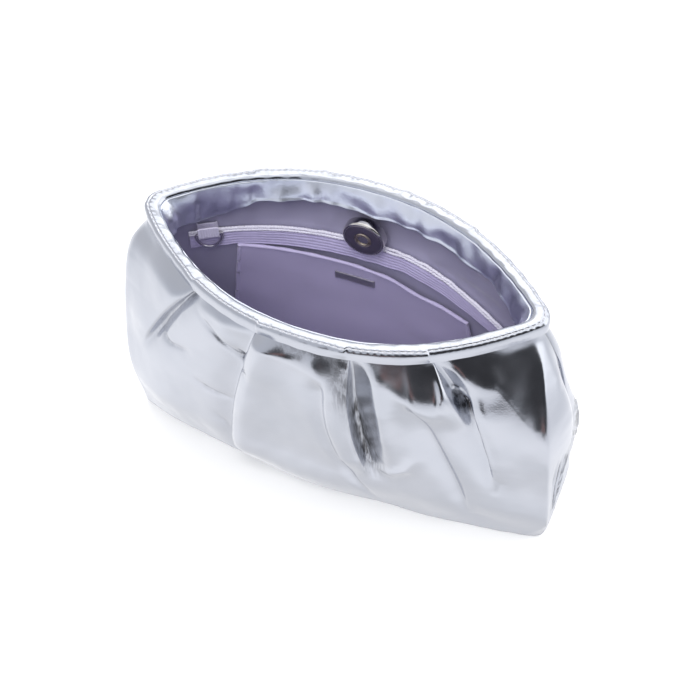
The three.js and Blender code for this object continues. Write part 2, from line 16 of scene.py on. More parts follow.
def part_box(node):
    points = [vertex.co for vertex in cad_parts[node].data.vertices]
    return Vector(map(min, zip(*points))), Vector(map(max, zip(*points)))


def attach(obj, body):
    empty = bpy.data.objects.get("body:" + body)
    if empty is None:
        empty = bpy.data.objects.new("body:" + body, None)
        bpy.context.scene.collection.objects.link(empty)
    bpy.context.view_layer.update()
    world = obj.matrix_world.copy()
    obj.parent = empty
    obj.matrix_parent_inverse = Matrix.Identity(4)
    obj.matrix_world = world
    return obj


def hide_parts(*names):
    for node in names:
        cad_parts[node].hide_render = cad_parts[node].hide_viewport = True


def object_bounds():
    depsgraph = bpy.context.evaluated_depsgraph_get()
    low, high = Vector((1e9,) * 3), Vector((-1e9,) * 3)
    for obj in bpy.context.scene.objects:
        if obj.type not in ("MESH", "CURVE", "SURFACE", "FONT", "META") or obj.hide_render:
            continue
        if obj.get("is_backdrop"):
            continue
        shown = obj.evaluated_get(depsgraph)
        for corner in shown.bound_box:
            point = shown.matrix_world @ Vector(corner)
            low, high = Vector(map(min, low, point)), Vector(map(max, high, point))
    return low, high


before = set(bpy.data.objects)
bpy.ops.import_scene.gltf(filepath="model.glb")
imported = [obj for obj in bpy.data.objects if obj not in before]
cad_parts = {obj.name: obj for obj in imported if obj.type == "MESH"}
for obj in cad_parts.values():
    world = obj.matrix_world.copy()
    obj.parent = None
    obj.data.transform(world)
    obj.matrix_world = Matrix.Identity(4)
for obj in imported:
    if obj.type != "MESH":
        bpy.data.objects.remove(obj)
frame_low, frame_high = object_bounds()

print("solids:", len(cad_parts), "box:", tuple(frame_low), tuple(frame_high))

# %% [markdown]
# ## The camera
# The photograph looks down into the mouth from the front right. A camera could be pointed by
# hand, but a few angles describe it better: how far round it stands, how high, how far away,
# and how much it leans. The long lens keeps the two ends of the bag at nearly the same scale.

# %% Camera
CAMERA_ROUND = math.radians(25.66)
CAMERA_UP = math.radians(54.34)
CAMERA_LEAN = math.radians(-3.54)
CAMERA_DISTANCE = 0.5632
CAMERA_TARGET = Vector((-0.0001, -0.0052, 0.0756))
FRAME_PIXELS = 690
FOCAL_PIXELS = 1255.2


def direction(azimuth, elevation):
    """The unit vector from the bag towards a place at this azimuth and elevation."""
    flat = math.cos(elevation)
    return Vector((math.sin(azimuth) * flat, -math.cos(azimuth) * flat, math.sin(elevation)))


def add_camera():
    data = bpy.data.cameras.new("photo_camera")
    data.sensor_width = 36.0
    data.lens = data.sensor_width * FOCAL_PIXELS / FRAME_PIXELS
    camera = bpy.data.objects.new("photo_camera", data)
    back = direction(CAMERA_ROUND, CAMERA_UP)
    right = Vector((0, 0, 1)).cross(back).normalized()
    up = back.cross(right)
    c, s = math.cos(CAMERA_LEAN), math.sin(CAMERA_LEAN)
    right, up = c * right + s * up, c * up - s * right
    turn = Matrix((right, up, back)).transposed().to_4x4()
    camera.matrix_world = Matrix.Translation(CAMERA_TARGET + CAMERA_DISTANCE * back) @ turn
    bpy.context.collection.objects.link(camera)
    bpy.context.scene.camera = camera
    return camera


camera = add_camera()
place = [round(v, 3) for v in camera.matrix_world.translation]
print("camera at", place, "lens", round(camera.data.lens, 1))

# %% [markdown]
# ## The studio
# Foil leather has hardly any colour of its own: it shows what is around it. The photograph was
# taken in a white tent that is open behind the lens, and that opening is the charcoal that the
# puffs show under the edge. Lamps alone would leave the leather black between their
# reflections, so the sky itself is painted. It is white all round, brighter overhead, at the
# right and below, and dark where the tent is open, with one warm spot. Each row of the table is
# a round patch: where it lies, the radius that it fills and the one where it ends, in degrees,
# and its colour.

# %% Sky
SKY_COLOUR = (0.93, 0.95, 1.0, 1)
SKY_STRENGTH = 0.84
PATCH_NAMES = ("azimuth", "elevation", "inner", "outer", "colour")
CHARCOAL, WARM = (0.06, 0.06, 0.065), (0.34, 0.17, 0.15)
SKY_PATCHES = [
    dict(zip(PATCH_NAMES, row))
    for row in [
        (0, -90, 40, 94, (1.56, 1.56, 1.58)),
        (0, -90, 8, 38, (1.12, 1.12, 1.14)),
        (205, 62, 28, 62, (2.0, 2.0, 2.0)),
        (114, 22, 22, 42, (2.2, 2.2, 2.2)),
        (-100, 35, 30, 60, (0.95, 0.95, 0.97)),
        (42, 26, 20, 31, CHARCOAL),
        (28, 10, 19, 27, CHARCOAL),
        (62, 19, 14, 26, CHARCOAL),
        (60, 38, 11, 21, CHARCOAL),
        (3, -12, 7, 15, CHARCOAL),
        (12, -5, 2, 8, WARM),
    ]
]


def paint_sky():
    """A white world with soft round patches: each replaces what lies under it."""
    world = bpy.data.worlds.new("white_tent")
    bpy.context.scene.world = world
    world.use_nodes = True
    nodes, links = world.node_tree.nodes, world.node_tree.links
    place = nodes.new("ShaderNodeTexCoord")
    under = None
    for patch in SKY_PATCHES:
        towards = nodes.new("ShaderNodeVectorMath")
        towards.operation = "DOT_PRODUCT"
        way = direction(math.radians(patch["azimuth"]), math.radians(patch["elevation"]))
        towards.inputs[1].default_value = way
        edge = nodes.new("ShaderNodeMapRange")
        edge.interpolation_type = "SMOOTHSTEP"
        edge.inputs["From Min"].default_value = math.cos(math.radians(patch["outer"]))
        edge.inputs["From Max"].default_value = math.cos(math.radians(patch["inner"]))
        colour = nodes.new("ShaderNodeMix")
        colour.data_type = "RGBA"
        colour.inputs["A"].default_value = SKY_COLOUR
        colour.inputs["B"].default_value = (*patch["colour"], 1)
        links.new(place.outputs["Generated"], towards.inputs[0])
        links.new(towards.outputs["Value"], edge.inputs["Value"])
        links.new(edge.outputs["Result"], colour.inputs["Factor"])
        if under is not None:
            links.new(under, colour.inputs["A"])
        under = colour.outputs["Result"]
    links.new(under, nodes["Background"].inputs["Color"])
    nodes["Background"].inputs["Strength"].default_value = SKY_STRENGTH


paint_sky()
print("sky: white, with", len(SKY_PATCHES), "painted patches")

# %% [markdown]
# ## Floor and wall
# The floor is white paper. Mirror-bright leather would show its far edge as a hard line, so the
# floor is hidden from reflections, where the sky painted below takes its place. It glows a
# little, as paper does that is lit from all sides. A round wall that only the camera sees
# closes the view where the camera looks along the floor.

# %% Floor and wall
FLOOR_SIZE, FLOOR_WHITE, FLOOR_GLOW = 3.0, 0.94, 0.1
WALL_RADIUS, WALL_HEIGHT, WALL_SIDES = 2.9, 2.0, 64


def add_stage(name, points, faces, finish_name, white, roughness, shine, glow):
    """A white surface of the studio, which no reflection shows."""
    mesh = bpy.data.meshes.new(name)
    mesh.from_pydata(points, [], faces)
    surface = bpy.data.objects.new(name, mesh)
    bpy.context.collection.objects.link(surface)
    paper = bpy.data.materials.new(finish_name)
    paper.use_nodes = True
    shader = paper.node_tree.nodes["Principled BSDF"]
    shader.inputs["Base Color"].default_value = (white, white, white, 1)
    shader.inputs["Roughness"].default_value = roughness
    shader.inputs["Specular IOR Level"].default_value = shine
    shader.inputs["Emission Color"].default_value = (1, 1, 1, 1)
    shader.inputs["Emission Strength"].default_value = glow
    mesh.materials.append(paper)
    surface.visible_glossy = False
    surface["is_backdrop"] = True
    return surface


def add_floor():
    a = FLOOR_SIZE
    corners = [(-a, -a, 0), (a, -a, 0), (a, a, 0), (-a, a, 0)]
    look = {"white": FLOOR_WHITE, "roughness": 0.9, "shine": 0.5, "glow": FLOOR_GLOW}
    return add_stage("studio_floor", corners, [(0, 1, 2, 3)], "white_paper", **look)


def add_wall():
    """A round wall for the camera alone."""
    turns = [2 * math.pi * i / WALL_SIDES for i in range(WALL_SIDES)]
    ring = [(WALL_RADIUS * math.cos(turn), WALL_RADIUS * math.sin(turn)) for turn in turns]
    points = [(x, y, z) for z in (0, WALL_HEIGHT) for x, y in ring]
    nexts = [(i + 1) % WALL_SIDES for i in range(WALL_SIDES)]
    faces = [(i, j, WALL_SIDES + j, WALL_SIDES + i) for i, j in enumerate(nexts)]
    look = {"white": 0, "roughness": 0.5, "shine": 0, "glow": 1.0}
    backdrop = add_stage("studio_backdrop", points, faces, "white_wall", **look)
    backdrop.visible_diffuse = backdrop.visible_shadow = False


add_floor()
add_wall()
print("floor at 0, wall at", WALL_RADIUS, "m")

# %% [markdown]
# ## Lamps
# The painted sky gives the leather its reflections, but little of it gets down into the bag. A
# wide lamp lights the lining through the mouth. It is kept out of the reflections, as a lamp
# behind a screen would be. A second, weak one lights the back.

# %% Lamps
def add_lamp(name, azimuth, elevation, distance, size, watts):
    """A wide lamp that looks at the bag from an azimuth and elevation in degrees."""
    data = bpy.data.lights.new(name, "AREA")
    data.shape = "RECTANGLE"
    data.size, data.size_y = size
    data.energy = watts
    lamp = bpy.data.objects.new(name, data)
    way = direction(math.radians(azimuth), math.radians(elevation))
    turn = way.to_track_quat("Z", "Y").to_matrix().to_4x4()
    lamp.matrix_world = Matrix.Translation(CAMERA_TARGET + distance * way) @ turn
    bpy.context.collection.objects.link(lamp)
    return lamp


into_mouth = add_lamp("lamp_into_mouth", 15, 66, distance=1.2, size=(0.7, 0.7), watts=8)
into_mouth.visible_glossy = False
add_lamp("lamp_back_left", -140, 55, distance=1.3, size=(1.0, 0.6), watts=2)
bpy.context.scene.view_settings.view_transform = "Standard"

# %% [markdown]
# ## The form that the leather follows
# Under its gathers the bag is a simple shape: a bowed box at the base that narrows into a lens
# at the mouth. Modelling it by hand would leave the front, the back, the edge and the lining
# each with a form of its own. One formula serves them all instead. It answers where the wall is
# for a side, a share of the way from the middle to the end, a height, and a distance out.
# The lengths below are the bag's own, and heights count from the base, which stands at 0.

# %% Sizes of the form
MM = 0.001
HEIGHT = frame_high.z
BASE_LENGTH, MOUTH_LENGTH = 213 * MM, 172 * MM
MOUTH_FRONT, MOUTH_BACK, MOUTH_SHIFT = 43 * MM, 42 * MM, -6 * MM
BASE_FRONT, BASE_BACK = 35 * MM, 33 * MM
FRONT, BACK = -1, 1
BOW_POWER, CORNER_POWER, MOUTH_BOW = 2.25, 120, 0.93
LEATHER = 1.3 * MM
BAND_HEIGHT, BAND_THICKNESS = 6 * MM, 6.4 * MM
LEDGE = 0.3 * MM
PANEL_TOP = HEIGHT - BAND_HEIGHT - LEDGE
GUSSET_FOOT, GUSSET_HEIGHT, GUSSET_TIP, GUSSET_FOLD = 25 * MM, 118 * MM, 2 * MM, 5 * MM


def mix(a, b, t):
    """From a, where t is 0, to b, where it is 1."""
    return a + (b - a) * t


def smoothstep(x, low, high):
    """Rises softly from 0 to 1 while x goes from low to high."""
    t = np.clip((x - low) / (high - low), 0, 1)
    return t * t * (3 - 2 * t)


def level_of(side, z):
    """Half length, depth and bow of the section at a height."""
    up = np.clip(z / HEIGHT, 0, 1)
    left = 1 - (up * 1.08) ** 2.2
    swell = (0.5 * (left + np.sqrt(left * left + 0.05**2))) ** 0.6
    half = mix(MOUTH_LENGTH, BASE_LENGTH, swell) / 2
    rise = up**0.8
    if side == FRONT:
        return half, mix(BASE_FRONT, MOUTH_FRONT, rise), mix(0.3, MOUTH_BOW, up**2.2)
    return half, mix(BASE_BACK, MOUTH_BACK, rise), mix(0.4, MOUTH_BOW, smoothstep(up, 0.1, 0.75))


def section(side, q, z, out):
    """Point of a half section at q, from 0 in the middle to 1 at the end."""
    half, depth, bow = level_of(side, z)
    tip = 1 + 0.3 * np.clip(z / HEIGHT, 0, 1) ** 6
    corner = np.cbrt(np.clip(1 - q**CORNER_POWER, 0, 1))
    return (half + tip * out) * q, (depth + out) * (1 - bow * q**BOW_POWER) * corner


for name, z in (("base", 0), ("middle", HEIGHT / 2), ("mouth", HEIGHT)):
    half, depth, bow = level_of(FRONT, z)
    print(f"{name}: {2 * half / MM:.0f} mm long, front {depth / MM:.0f} mm deep, bow {bow:.2f}")

# %% [markdown]
# ## From share to place
# A share of the way along a wall is a length, but the section's own formula runs on q. A small
# table for each side turns one into the other. The point itself is then worked out from the
# formula, so that the surface stays perfectly smooth: mirror-bright leather shows every facet.

# %% From share to place
TABLE_Z = np.linspace(0, HEIGHT, 141)
TABLE_SHARE = np.linspace(0, 1, 801)


def section_table(side):
    """For each height, the q of every share, and the length run to the end."""
    q = 1 - (1 - TABLE_SHARE) ** 4
    turned, lengths = [], []
    for z in TABLE_Z:
        x, y = section(side, q, z, 0)
        run = np.concatenate([[0], np.cumsum(np.hypot(np.diff(x), np.diff(y)))])
        turned.append(np.interp(TABLE_SHARE, run / run[-1], q))
        lengths.append(run[-1])
    return np.array(turned), np.array(lengths)


SECTION_TABLES = {side: section_table(side) for side in (FRONT, BACK)}


def half_length(side, z):
    """Length run from the middle of a wall to its end."""
    return np.interp(z, TABLE_Z, SECTION_TABLES[side][1])


def wall(side, share, z, out=0.0):
    """Points of the front or back, as an array whose last axis is x, y, z."""
    share, z, out = np.broadcast_arrays(*(np.asarray(v, float) for v in (share, z, out)))
    table = SECTION_TABLES[side][0]
    row = np.clip(z / HEIGHT, 0, 1) * (len(TABLE_Z) - 1)
    column = np.clip(np.abs(share), 0, 1) * (len(TABLE_SHARE) - 1)
    r = np.minimum(row.astype(int), len(TABLE_Z) - 2)
    c = np.minimum(column.astype(int), len(TABLE_SHARE) - 2)
    low = mix(table[r, c], table[r, c + 1], column - c)
    high = mix(table[r + 1, c], table[r + 1, c + 1], column - c)
    x, y = section(side, mix(low, high, row - r), z, out)
    return np.stack([np.sign(share) * x, MOUTH_SHIFT * z / HEIGHT + side * y, z], axis=-1)


for name, z in (("base", 0), ("mouth", HEIGHT)):
    print(f"half length run along the front at the {name}: {half_length(FRONT, z) / MM:.1f} mm")

# %% [markdown]
# ## Meshes from grids of points
# Every soft piece here is a sheet: rows and columns of points joined into four-sided faces.
# One helper makes such a mesh and shades it smooth. Another gives it its finish, hides the plain
# solids that it stands for, hangs it on a body, and prints how many faces it has and its slot.

# %% Meshes from grids
def grid_faces(rows, columns, wrap=False, first=0):
    index = first + np.arange(rows * columns).reshape(rows, columns)
    if wrap:
        index = np.concatenate([index, index[:, :1]], axis=1)
    corners = [index[:-1, :-1], index[:-1, 1:], index[1:, 1:], index[1:, :-1]]
    return np.stack(corners, axis=-1).reshape(-1, 4)


def mesh_object(name, points, faces):
    mesh = bpy.data.meshes.new(name)
    mesh.from_pydata(np.asarray(points).reshape(-1, 3).tolist(), [], [list(f) for f in faces])
    mesh.validate()
    mesh.shade_smooth()
    piece = bpy.data.objects.new(name, mesh)
    bpy.context.collection.objects.link(piece)
    return piece


def grid_object(name, points, wrap=False, flip=False):
    faces = grid_faces(*points.shape[:2], wrap=wrap)
    return mesh_object(name, points, faces[:, ::-1] if flip else faces)


def thicken(piece, thickness, side=-1):
    """Gives a sheet its thickness, behind its faces (-1) or in front of them (1)."""
    solidify = piece.modifiers.new("thickness", "SOLIDIFY")
    solidify.thickness = thickness
    solidify.offset = side
    return piece


def dress(piece, finish, slot, *nodes):
    """Gives a piece its finish, hides the plain solids that it stands for, hangs it on the root body
    and prints its faces and slot.
    """
    piece.data.materials.append(finish)
    if nodes:
        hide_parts(*nodes)
    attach(piece, "root")
    print(f"{piece.name}: {len(piece.data.polygons)} faces, {slot}")
    return piece


open_grid, closed_grid = (len(grid_faces(3, 4, wrap=wrap)) for wrap in (False, True))
print("a grid of 3 by 4 points has", open_grid, "faces, closed round", closed_grid)

# %% [markdown]
# ## Ripples
# Cloth and leather are never quite even. A noise texture could shake the points, but a sum of a
# few waves has one advantage: its wave length is a real size, such as the 9 mm between two
# gathers. The directions and phases are drawn at random, always the same for the same seed.

# %% Ripples
def steps(low, high, count):
    """Evenly spaced values from low to high, both included."""
    return np.linspace(low, high, count)


def ripple(u, v, seed, wave, count=7):
    """Soft uneven waves of about this wave length over u and v, between about -1 and 1."""
    chance = np.random.default_rng(seed)
    total = np.zeros(np.broadcast(u, v).shape)
    lowest, highest = (0, 0, 0.7), (2 * math.pi, 2 * math.pi, 1.5)
    for angle, phase, scale in chance.uniform(lowest, highest, (count, 3)):
        turn = 2 * math.pi / (wave * scale)
        total = total + np.sin(turn * (u * math.cos(angle) + v * math.sin(angle)) + phase)
    return total / math.sqrt(count) / 1.4


sample = ripple(steps(0, 1, 2000), 0, seed=1, wave=0.05)
print("a ripple lies between", round(sample.min(), 2), "and", round(sample.max(), 2))

# %% [markdown]
# ## Silver leather
# The leather is coated with a thin metal foil. Its finish could be a plain metal, but real foil
# leather is never a perfect mirror: the skin's grain shows through as tiny dimples, and the
# foil is duller in some places than in others. So the shader is a metal whose roughness wanders
# with a slow noise, and whose bump adds fine grain and slow unevenness. First come the small
# helpers that every finish here shares: a noise in the piece's own metres, and links that let
# it move a socket, a colour or a bump.

# %% Helpers for finishes
def new_finish(name, colour, roughness, metallic=0.0):
    """A new finish, and the shader in it that the helpers below change."""
    finish = bpy.data.materials.new(name)
    finish.use_nodes = True
    shader = finish.node_tree.nodes["Principled BSDF"]
    shader.inputs["Base Color"].default_value = (*colour, 1)
    shader.inputs["Roughness"].default_value = roughness
    shader.inputs["Metallic"].default_value = metallic
    return finish, shader


def add_node(finish, kind, **values):
    node = finish.node_tree.nodes.new(kind)
    for key, value in values.items():
        node.inputs[key].default_value = value
    return node


def noise(finish, scale, detail=2.0, stretch=(1, 1, 1)):
    """A noise in the piece's own metres: scale 1000 gives grains of about a millimetre."""
    place = add_node(finish, "ShaderNodeTexCoord")
    sizes = add_node(finish, "ShaderNodeMapping", Scale=stretch)
    grain = add_node(finish, "ShaderNodeTexNoise", Scale=scale, Detail=detail)
    finish.node_tree.links.new(place.outputs["Object"], sizes.inputs["Vector"])
    finish.node_tree.links.new(sizes.outputs["Vector"], grain.inputs["Vector"])
    return grain.outputs["Fac"]


def vary(finish, shader, socket, source, low, high):
    """Lets a noise move a socket between two values."""
    span = add_node(finish, "ShaderNodeMapRange")
    span.inputs["From Min"].default_value = 0.3
    span.inputs["From Max"].default_value = 0.7
    span.inputs["To Min"].default_value = low
    span.inputs["To Max"].default_value = high
    finish.node_tree.links.new(source, span.inputs["Value"])
    finish.node_tree.links.new(span.outputs["Result"], shader.inputs[socket])


def tint(finish, shader, source, low, high):
    """Lets a noise move the colour between two tones."""
    blend = finish.node_tree.nodes.new("ShaderNodeMix")
    blend.data_type = "RGBA"
    blend.inputs["A"].default_value = (*low, 1)
    blend.inputs["B"].default_value = (*high, 1)
    finish.node_tree.links.new(source, blend.inputs["Factor"])
    finish.node_tree.links.new(blend.outputs["Result"], shader.inputs["Base Color"])
    return blend


def bumps(finish, shader, *layers):
    """Stacks bumps: each layer is a height source and its depth in metres."""
    before = None
    for source, depth in layers:
        bump = add_node(finish, "ShaderNodeBump", Distance=depth, Strength=1.0)
        finish.node_tree.links.new(source, bump.inputs["Height"])
        if before is not None:
            finish.node_tree.links.new(before.outputs["Normal"], bump.inputs["Normal"])
        before = bump
    finish.node_tree.links.new(before.outputs["Normal"], shader.inputs["Normal"])


print("a noise of scale 1000 has grains of about", round(1 / 1000 / MM, 1), "mm")

# %% [markdown]
# ## Painted shade in the folds of the foil
# Deep inside a tight fold the foil mirrors only itself, again and again, and looks nearly black
# with fine light strokes. A renderer loses that in so narrow a place. The mesh therefore
# carries a number for each point, its painted fold shade, which is worked out from the folds
# further down, and the finish mixes in a dark tone by it. This is painted shade and painted dark
# reflection, fixed on the leather, so it stays the same whichever way the camera looks.

# %% Finish: silver leather
# The last colour is the near-black painted shade that the folds are mixed towards. The strokes leave
# fine lighter streaks in it.
FOIL_LOW, FOIL_HIGH, FOIL_PAINTED_SHADE = (0.48, 0.505, 0.565), (0.56, 0.575, 0.63), (0.03, 0.03, 0.035, 1)
STROKE_SCALE, STROKE_STRETCH = 800, (1, 1, 0.12)
STROKE_LOW, STROKE_HIGH, STROKE_LEAST = 0.42, 0.56, 0.5


def darken_folds(finish, shader, tone):
    """Paints shade into a tone by the mesh's painted fold shade, in fine strokes along the folds."""
    nodes, links = finish.node_tree.nodes, finish.node_tree.links
    painted_fold_shade = nodes.new("ShaderNodeAttribute")
    painted_fold_shade.attribute_name = "painted_fold_shade"
    deepen = nodes.new("ShaderNodeMix")
    deepen.data_type = "RGBA"
    deepen.inputs["B"].default_value = FOIL_PAINTED_SHADE
    patchy = nodes.new("ShaderNodeMath")
    patchy.operation = "MULTIPLY"
    strokes = add_node(finish, "ShaderNodeMapRange")
    strokes.inputs["From Min"].default_value = STROKE_LOW
    strokes.inputs["From Max"].default_value = STROKE_HIGH
    strokes.inputs["To Min"].default_value = STROKE_LEAST
    links.new(noise(finish, STROKE_SCALE, 2, stretch=STROKE_STRETCH), strokes.inputs["Value"])
    links.new(painted_fold_shade.outputs["Fac"], patchy.inputs[0])
    links.new(strokes.outputs["Result"], patchy.inputs[1])
    links.new(patchy.outputs["Value"], deepen.inputs["Factor"])
    links.new(tone.outputs["Result"], deepen.inputs["A"])
    links.new(deepen.outputs["Result"], shader.inputs["Base Color"])


# bright scales the foil's colour. Above 1, as on the facing, it is painted light.
def silver_leather(name, roughness, depth, bright=1.0):
    finish, shader = new_finish(name, FOIL_HIGH, roughness, 1.0)
    vary(finish, shader, "Roughness", noise(finish, 60), roughness - 0.05, roughness + 0.06)
    low, high = (tuple(bright * part for part in foil) for foil in (FOIL_LOW, FOIL_HIGH))
    tone = tint(finish, shader, noise(finish, 35, 3), low, high)
    # Painted shade in the folds, read from each mesh's painted fold shade.
    darken_folds(finish, shader, tone)
    bumps(finish, shader, (noise(finish, 160, 3), depth * 4), (noise(finish, 1500, 2), depth))
    return finish


SILVER = silver_leather("silver_leather", 0.2, 0.000025)
SILVER_CREASED = silver_leather("silver_leather_creased", 0.26, 0.00004)
print("finishes:", SILVER.name, SILVER_CREASED.name)

# %% [markdown]
# ## Pleats, puffs and creases
# On the real bag a wide piece of leather is folded into the narrow edge at a few pleats, and it
# balloons between them. A cloth simulation gives such puffs, but never the same pleats as the
# photograph. Here each fold is a row of a table: where it runs at the edge, half way down and
# at the foot, how high its lip stands and how deep the hollow beside it is. Places are shares of
# the wall, from -1 at its left end to 1 at its right one, and heights are shares of its height.
# A fold that starts at height 1 is a pleat, which the edge holds. Swells are the puffs that no
# pleat explains.

# %% Tables of folds
PUFF, PLEAT, HOLLOW = 6 * MM, 7 * MM, 3 * MM
FOLD_NAMES = ("rim", "middle", "foot", "start", "end", "rise", "sink", "wide", "over", "lean", "dark")
# The last column, dark, is the height share below which the hollow beside a fold gets fine wrinkles
# and painted shade. A 0 gives neither.
FOLDS = {
    FRONT: [
        (-0.50, -0.70, -0.72, 1.00, 0.50, 0.3, 0.9, 0.06, -1, 0.010, 0),
        (-0.16, -0.275, -0.34, 1.00, 0.00, 0.6, 0.8, 0.09, 1, 0.016, 0),
        (0.20, 0.165, 0.27, 1.00, 0.26, 0.7, 1.6, 0.09, -1, 0.020, 0.80),
        (0.51, 0.61, 0.59, 1.00, 0.70, 0.8, 1.2, 0.07, -1, 0.018, 0.90),
        (0.60, 0.64, 0.62, 0.88, 0.38, 0.3, 1.0, 0.06, 1, 0.012, 0),
        (0.14, 0.10, 0.25, 0.90, 0.04, 0.1, 0.6, 0.04, 1, 0.0, 0),
        (0.38, 0.50, 0.57, 0.88, 0.10, 0.1, 0.6, 0.05, 1, 0.0, 0),
        (-0.50, 0.09, 0.68, 0.95, 0.72, 0.1, 0.4, 0.03, 1, 0.0, 0),
    ],
    BACK: [
        (-0.53, -0.60, -0.64, 1.00, 0.30, 0.5, 0.9, 0.08, 1, 0.014, 0),
        (-0.22, -0.20, -0.27, 1.00, 0.10, 0.5, 0.9, 0.09, -1, 0.014, 0),
        (0.12, 0.19, 0.20, 1.00, 0.45, 0.5, 1.1, 0.10, 1, 0.016, 0),
        (0.48, 0.52, 0.60, 1.00, 0.05, 0.6, 0.9, 0.09, -1, 0.014, 0),
        (-0.36, -0.40, -0.50, 0.85, 0.15, 0.1, 0.6, 0.05, 1, 0.0, 0),
        (0.30, 0.34, 0.42, 0.88, 0.20, 0.1, 0.6, 0.05, -1, 0.0, 0),
    ],
}
SWELL_NAMES = ("share", "level", "wide", "tall", "rise")
SWELLS = {
    FRONT: [
        (-0.06, 0.10, 0.20, 0.14, 0.7),
        (-0.02, 0.55, 0.14, 0.35, 0.4),
        (0.40, 0.45, 0.10, 0.30, 0.3),
        (-0.55, 0.35, 0.20, 0.30, 0.2),
        (0.84, 0.72, 0.16, 0.22, 0.9),
        (0.43, 0.84, 0.09, 0.10, 0.5),
        (0.30, 0.62, 0.035, 0.30, 0.35),
    ],
    BACK: [
        (0.00, 0.40, 0.20, 0.35, 0.3),
        (0.40, 0.90, 0.06, 0.08, 0.7),
        (-0.45, 0.35, 0.20, 0.25, 0.3),
        (0.50, 0.35, 0.25, 0.25, 0.3),
    ],
}


def named(names, table):
    """Gives each value of each row its name."""
    return {side: [dict(zip(names, row)) for row in rows] for side, rows in table.items()}


FOLDS, SWELLS = named(FOLD_NAMES, FOLDS), named(SWELL_NAMES, SWELLS)
PLEATS = {side: [fold for fold in folds if fold["start"] == 1] for side, folds in FOLDS.items()}
print("folds on the front and back:", [len(FOLDS[side]) for side in (FRONT, BACK)])

# %% [markdown]
# ## The shape of a pleat
# A pleat is a step in the leather. On one side its lip rolls forward, and on the other the
# leather dips under it. The step is a smooth one across a width of a few millimetres, the roll
# and the dip are bell curves, and the whole fades out where the fold ends. A lip also leans
# over its hollow, which a distance out from the wall can't say, so it shifts the points along
# the wall instead.

# %% Shape of a pleat
ROLL_REACH, LEAN_REACH = 0.12, 0.05


def fold_share(fold, up):
    """Where a fold runs at a height, on a bow through its three places."""
    bow = fold["middle"] - (fold["rim"] + fold["foot"]) / 2
    return mix(fold["foot"], fold["rim"], up) + bow * 4 * up * (1 - up)


def fold_strength(fold, up):
    """1 along the fold, 0 beyond its ends."""
    strength = smoothstep(up, fold["end"] - 0.02, fold["end"] + 0.18)
    if fold["start"] < 1:
        strength = strength * (1 - smoothstep(up, fold["start"] - 0.1, fold["start"]))
    return strength


def fold_relief(fold, share, up):
    """How far one fold lifts its lip and sinks its hollow."""
    d = (share - fold_share(fold, up)) * fold["over"]
    step = smoothstep(d, -0.018, 0.008)
    wide = fold["wide"] * mix(0.45, 1, np.clip((up - fold["end"]) / (1 - fold["end"]), 0, 1))
    crest = mix(0.5, 1, smoothstep(d, -0.005, 0.045))
    roll = fold["rise"] * PLEAT * np.exp(-((d / ROLL_REACH) ** 2)) * crest
    dip = fold["sink"] * HOLLOW * np.exp(-(((d + 0.02) / wide) ** 2))
    return fold_strength(fold, up) * (roll * step - dip * (1 - step))


def lean(side, share, up):
    """How far the lips of the pleats lean over their hollows, as a share."""
    total = np.zeros(np.broadcast(share, up).shape)
    for fold in FOLDS[side]:
        if fold["lean"] > 0:
            d = (share - fold_share(fold, up)) * fold["over"]
            faded = np.exp(-((np.maximum(d, 0) / LEAN_REACH) ** 2))
            shape = smoothstep(d, -0.012, 0.004) * faded
            total = total - fold["over"] * fold["lean"] * fold_strength(fold, up) * shape
    return total


for side, word in ((FRONT, "front"), (BACK, "back")):
    print("pleats leave the edge of the", word, "at", [fold["rim"] for fold in PLEATS[side]])

# %% [markdown]
# ## Puffs and shoulders
# Between two pleats the leather balloons, most of all near the edge that gathers it. Right under
# the edge it has to turn over first. How quickly it does so differs from place to place, and
# that makes the shadow under the edge wide here and narrow there. So the puff is an arch from
# pleat to pleat, and a second table says how tall the shoulder is along each wall.

# %% Puffs and shoulders
PAST_END = 1.1


def puff(side, share, up):
    """The leather balloons between the pleats, and is pinched at the edge where each begins."""
    ends = [np.full_like(up, end) for end in (-PAST_END, PAST_END)]
    lines = [ends[0], *(fold_share(fold, up) for fold in PLEATS[side]), ends[1]]
    arch = np.zeros(np.broadcast(share, up).shape)
    for low, high in zip(lines, lines[1:]):
        t = np.clip((share - low) / (high - low), 0, 1)
        arch = np.maximum(arch, np.sqrt(4 * t * (1 - t)))
    pinched = 0.85 * up**3
    foot = mix(0.2, 1, smoothstep(up, 0, 0.25))
    return PUFF * foot * (0.35 + 0.3 * mix(1, arch, pinched))


# How far below the edge the leather turns over, as a share of the height, along each wall.
SHOULDERS = {
    FRONT: [(-1, 0.12), (-0.62, 0.08), (-0.45, 0.05), (-0.14, 0.05), (0.05, 0.1), (0.17, 0.22),
            (0.22, 0.06), (0.32, 0.1), (0.42, 0.16), (0.5, 0.21), (0.54, 0.07), (0.72, 0.11),
            (0.84, 0.32), (1, 0.3)],
    BACK: [(-1, 0.2), (-0.53, 0.08), (-0.2, 0.14), (0.12, 0.08), (0.48, 0.14), (1, 0.2)],
}


def shoulder(side, share, up):
    """Rises from 0 at the edge of the mouth to 1 where the leather has turned over."""
    places, sizes = np.array(SHOULDERS[side]).T
    at = np.clip(np.searchsorted(places, share) - 1, 0, len(places) - 2)
    t = np.clip((share - places[at]) / (places[at + 1] - places[at]), 0, 1)
    size = mix(sizes[at], sizes[at + 1], t * t * (3 - 2 * t))
    return np.sin(np.pi / 2 * np.clip((1 - up) / size, 0, 1))


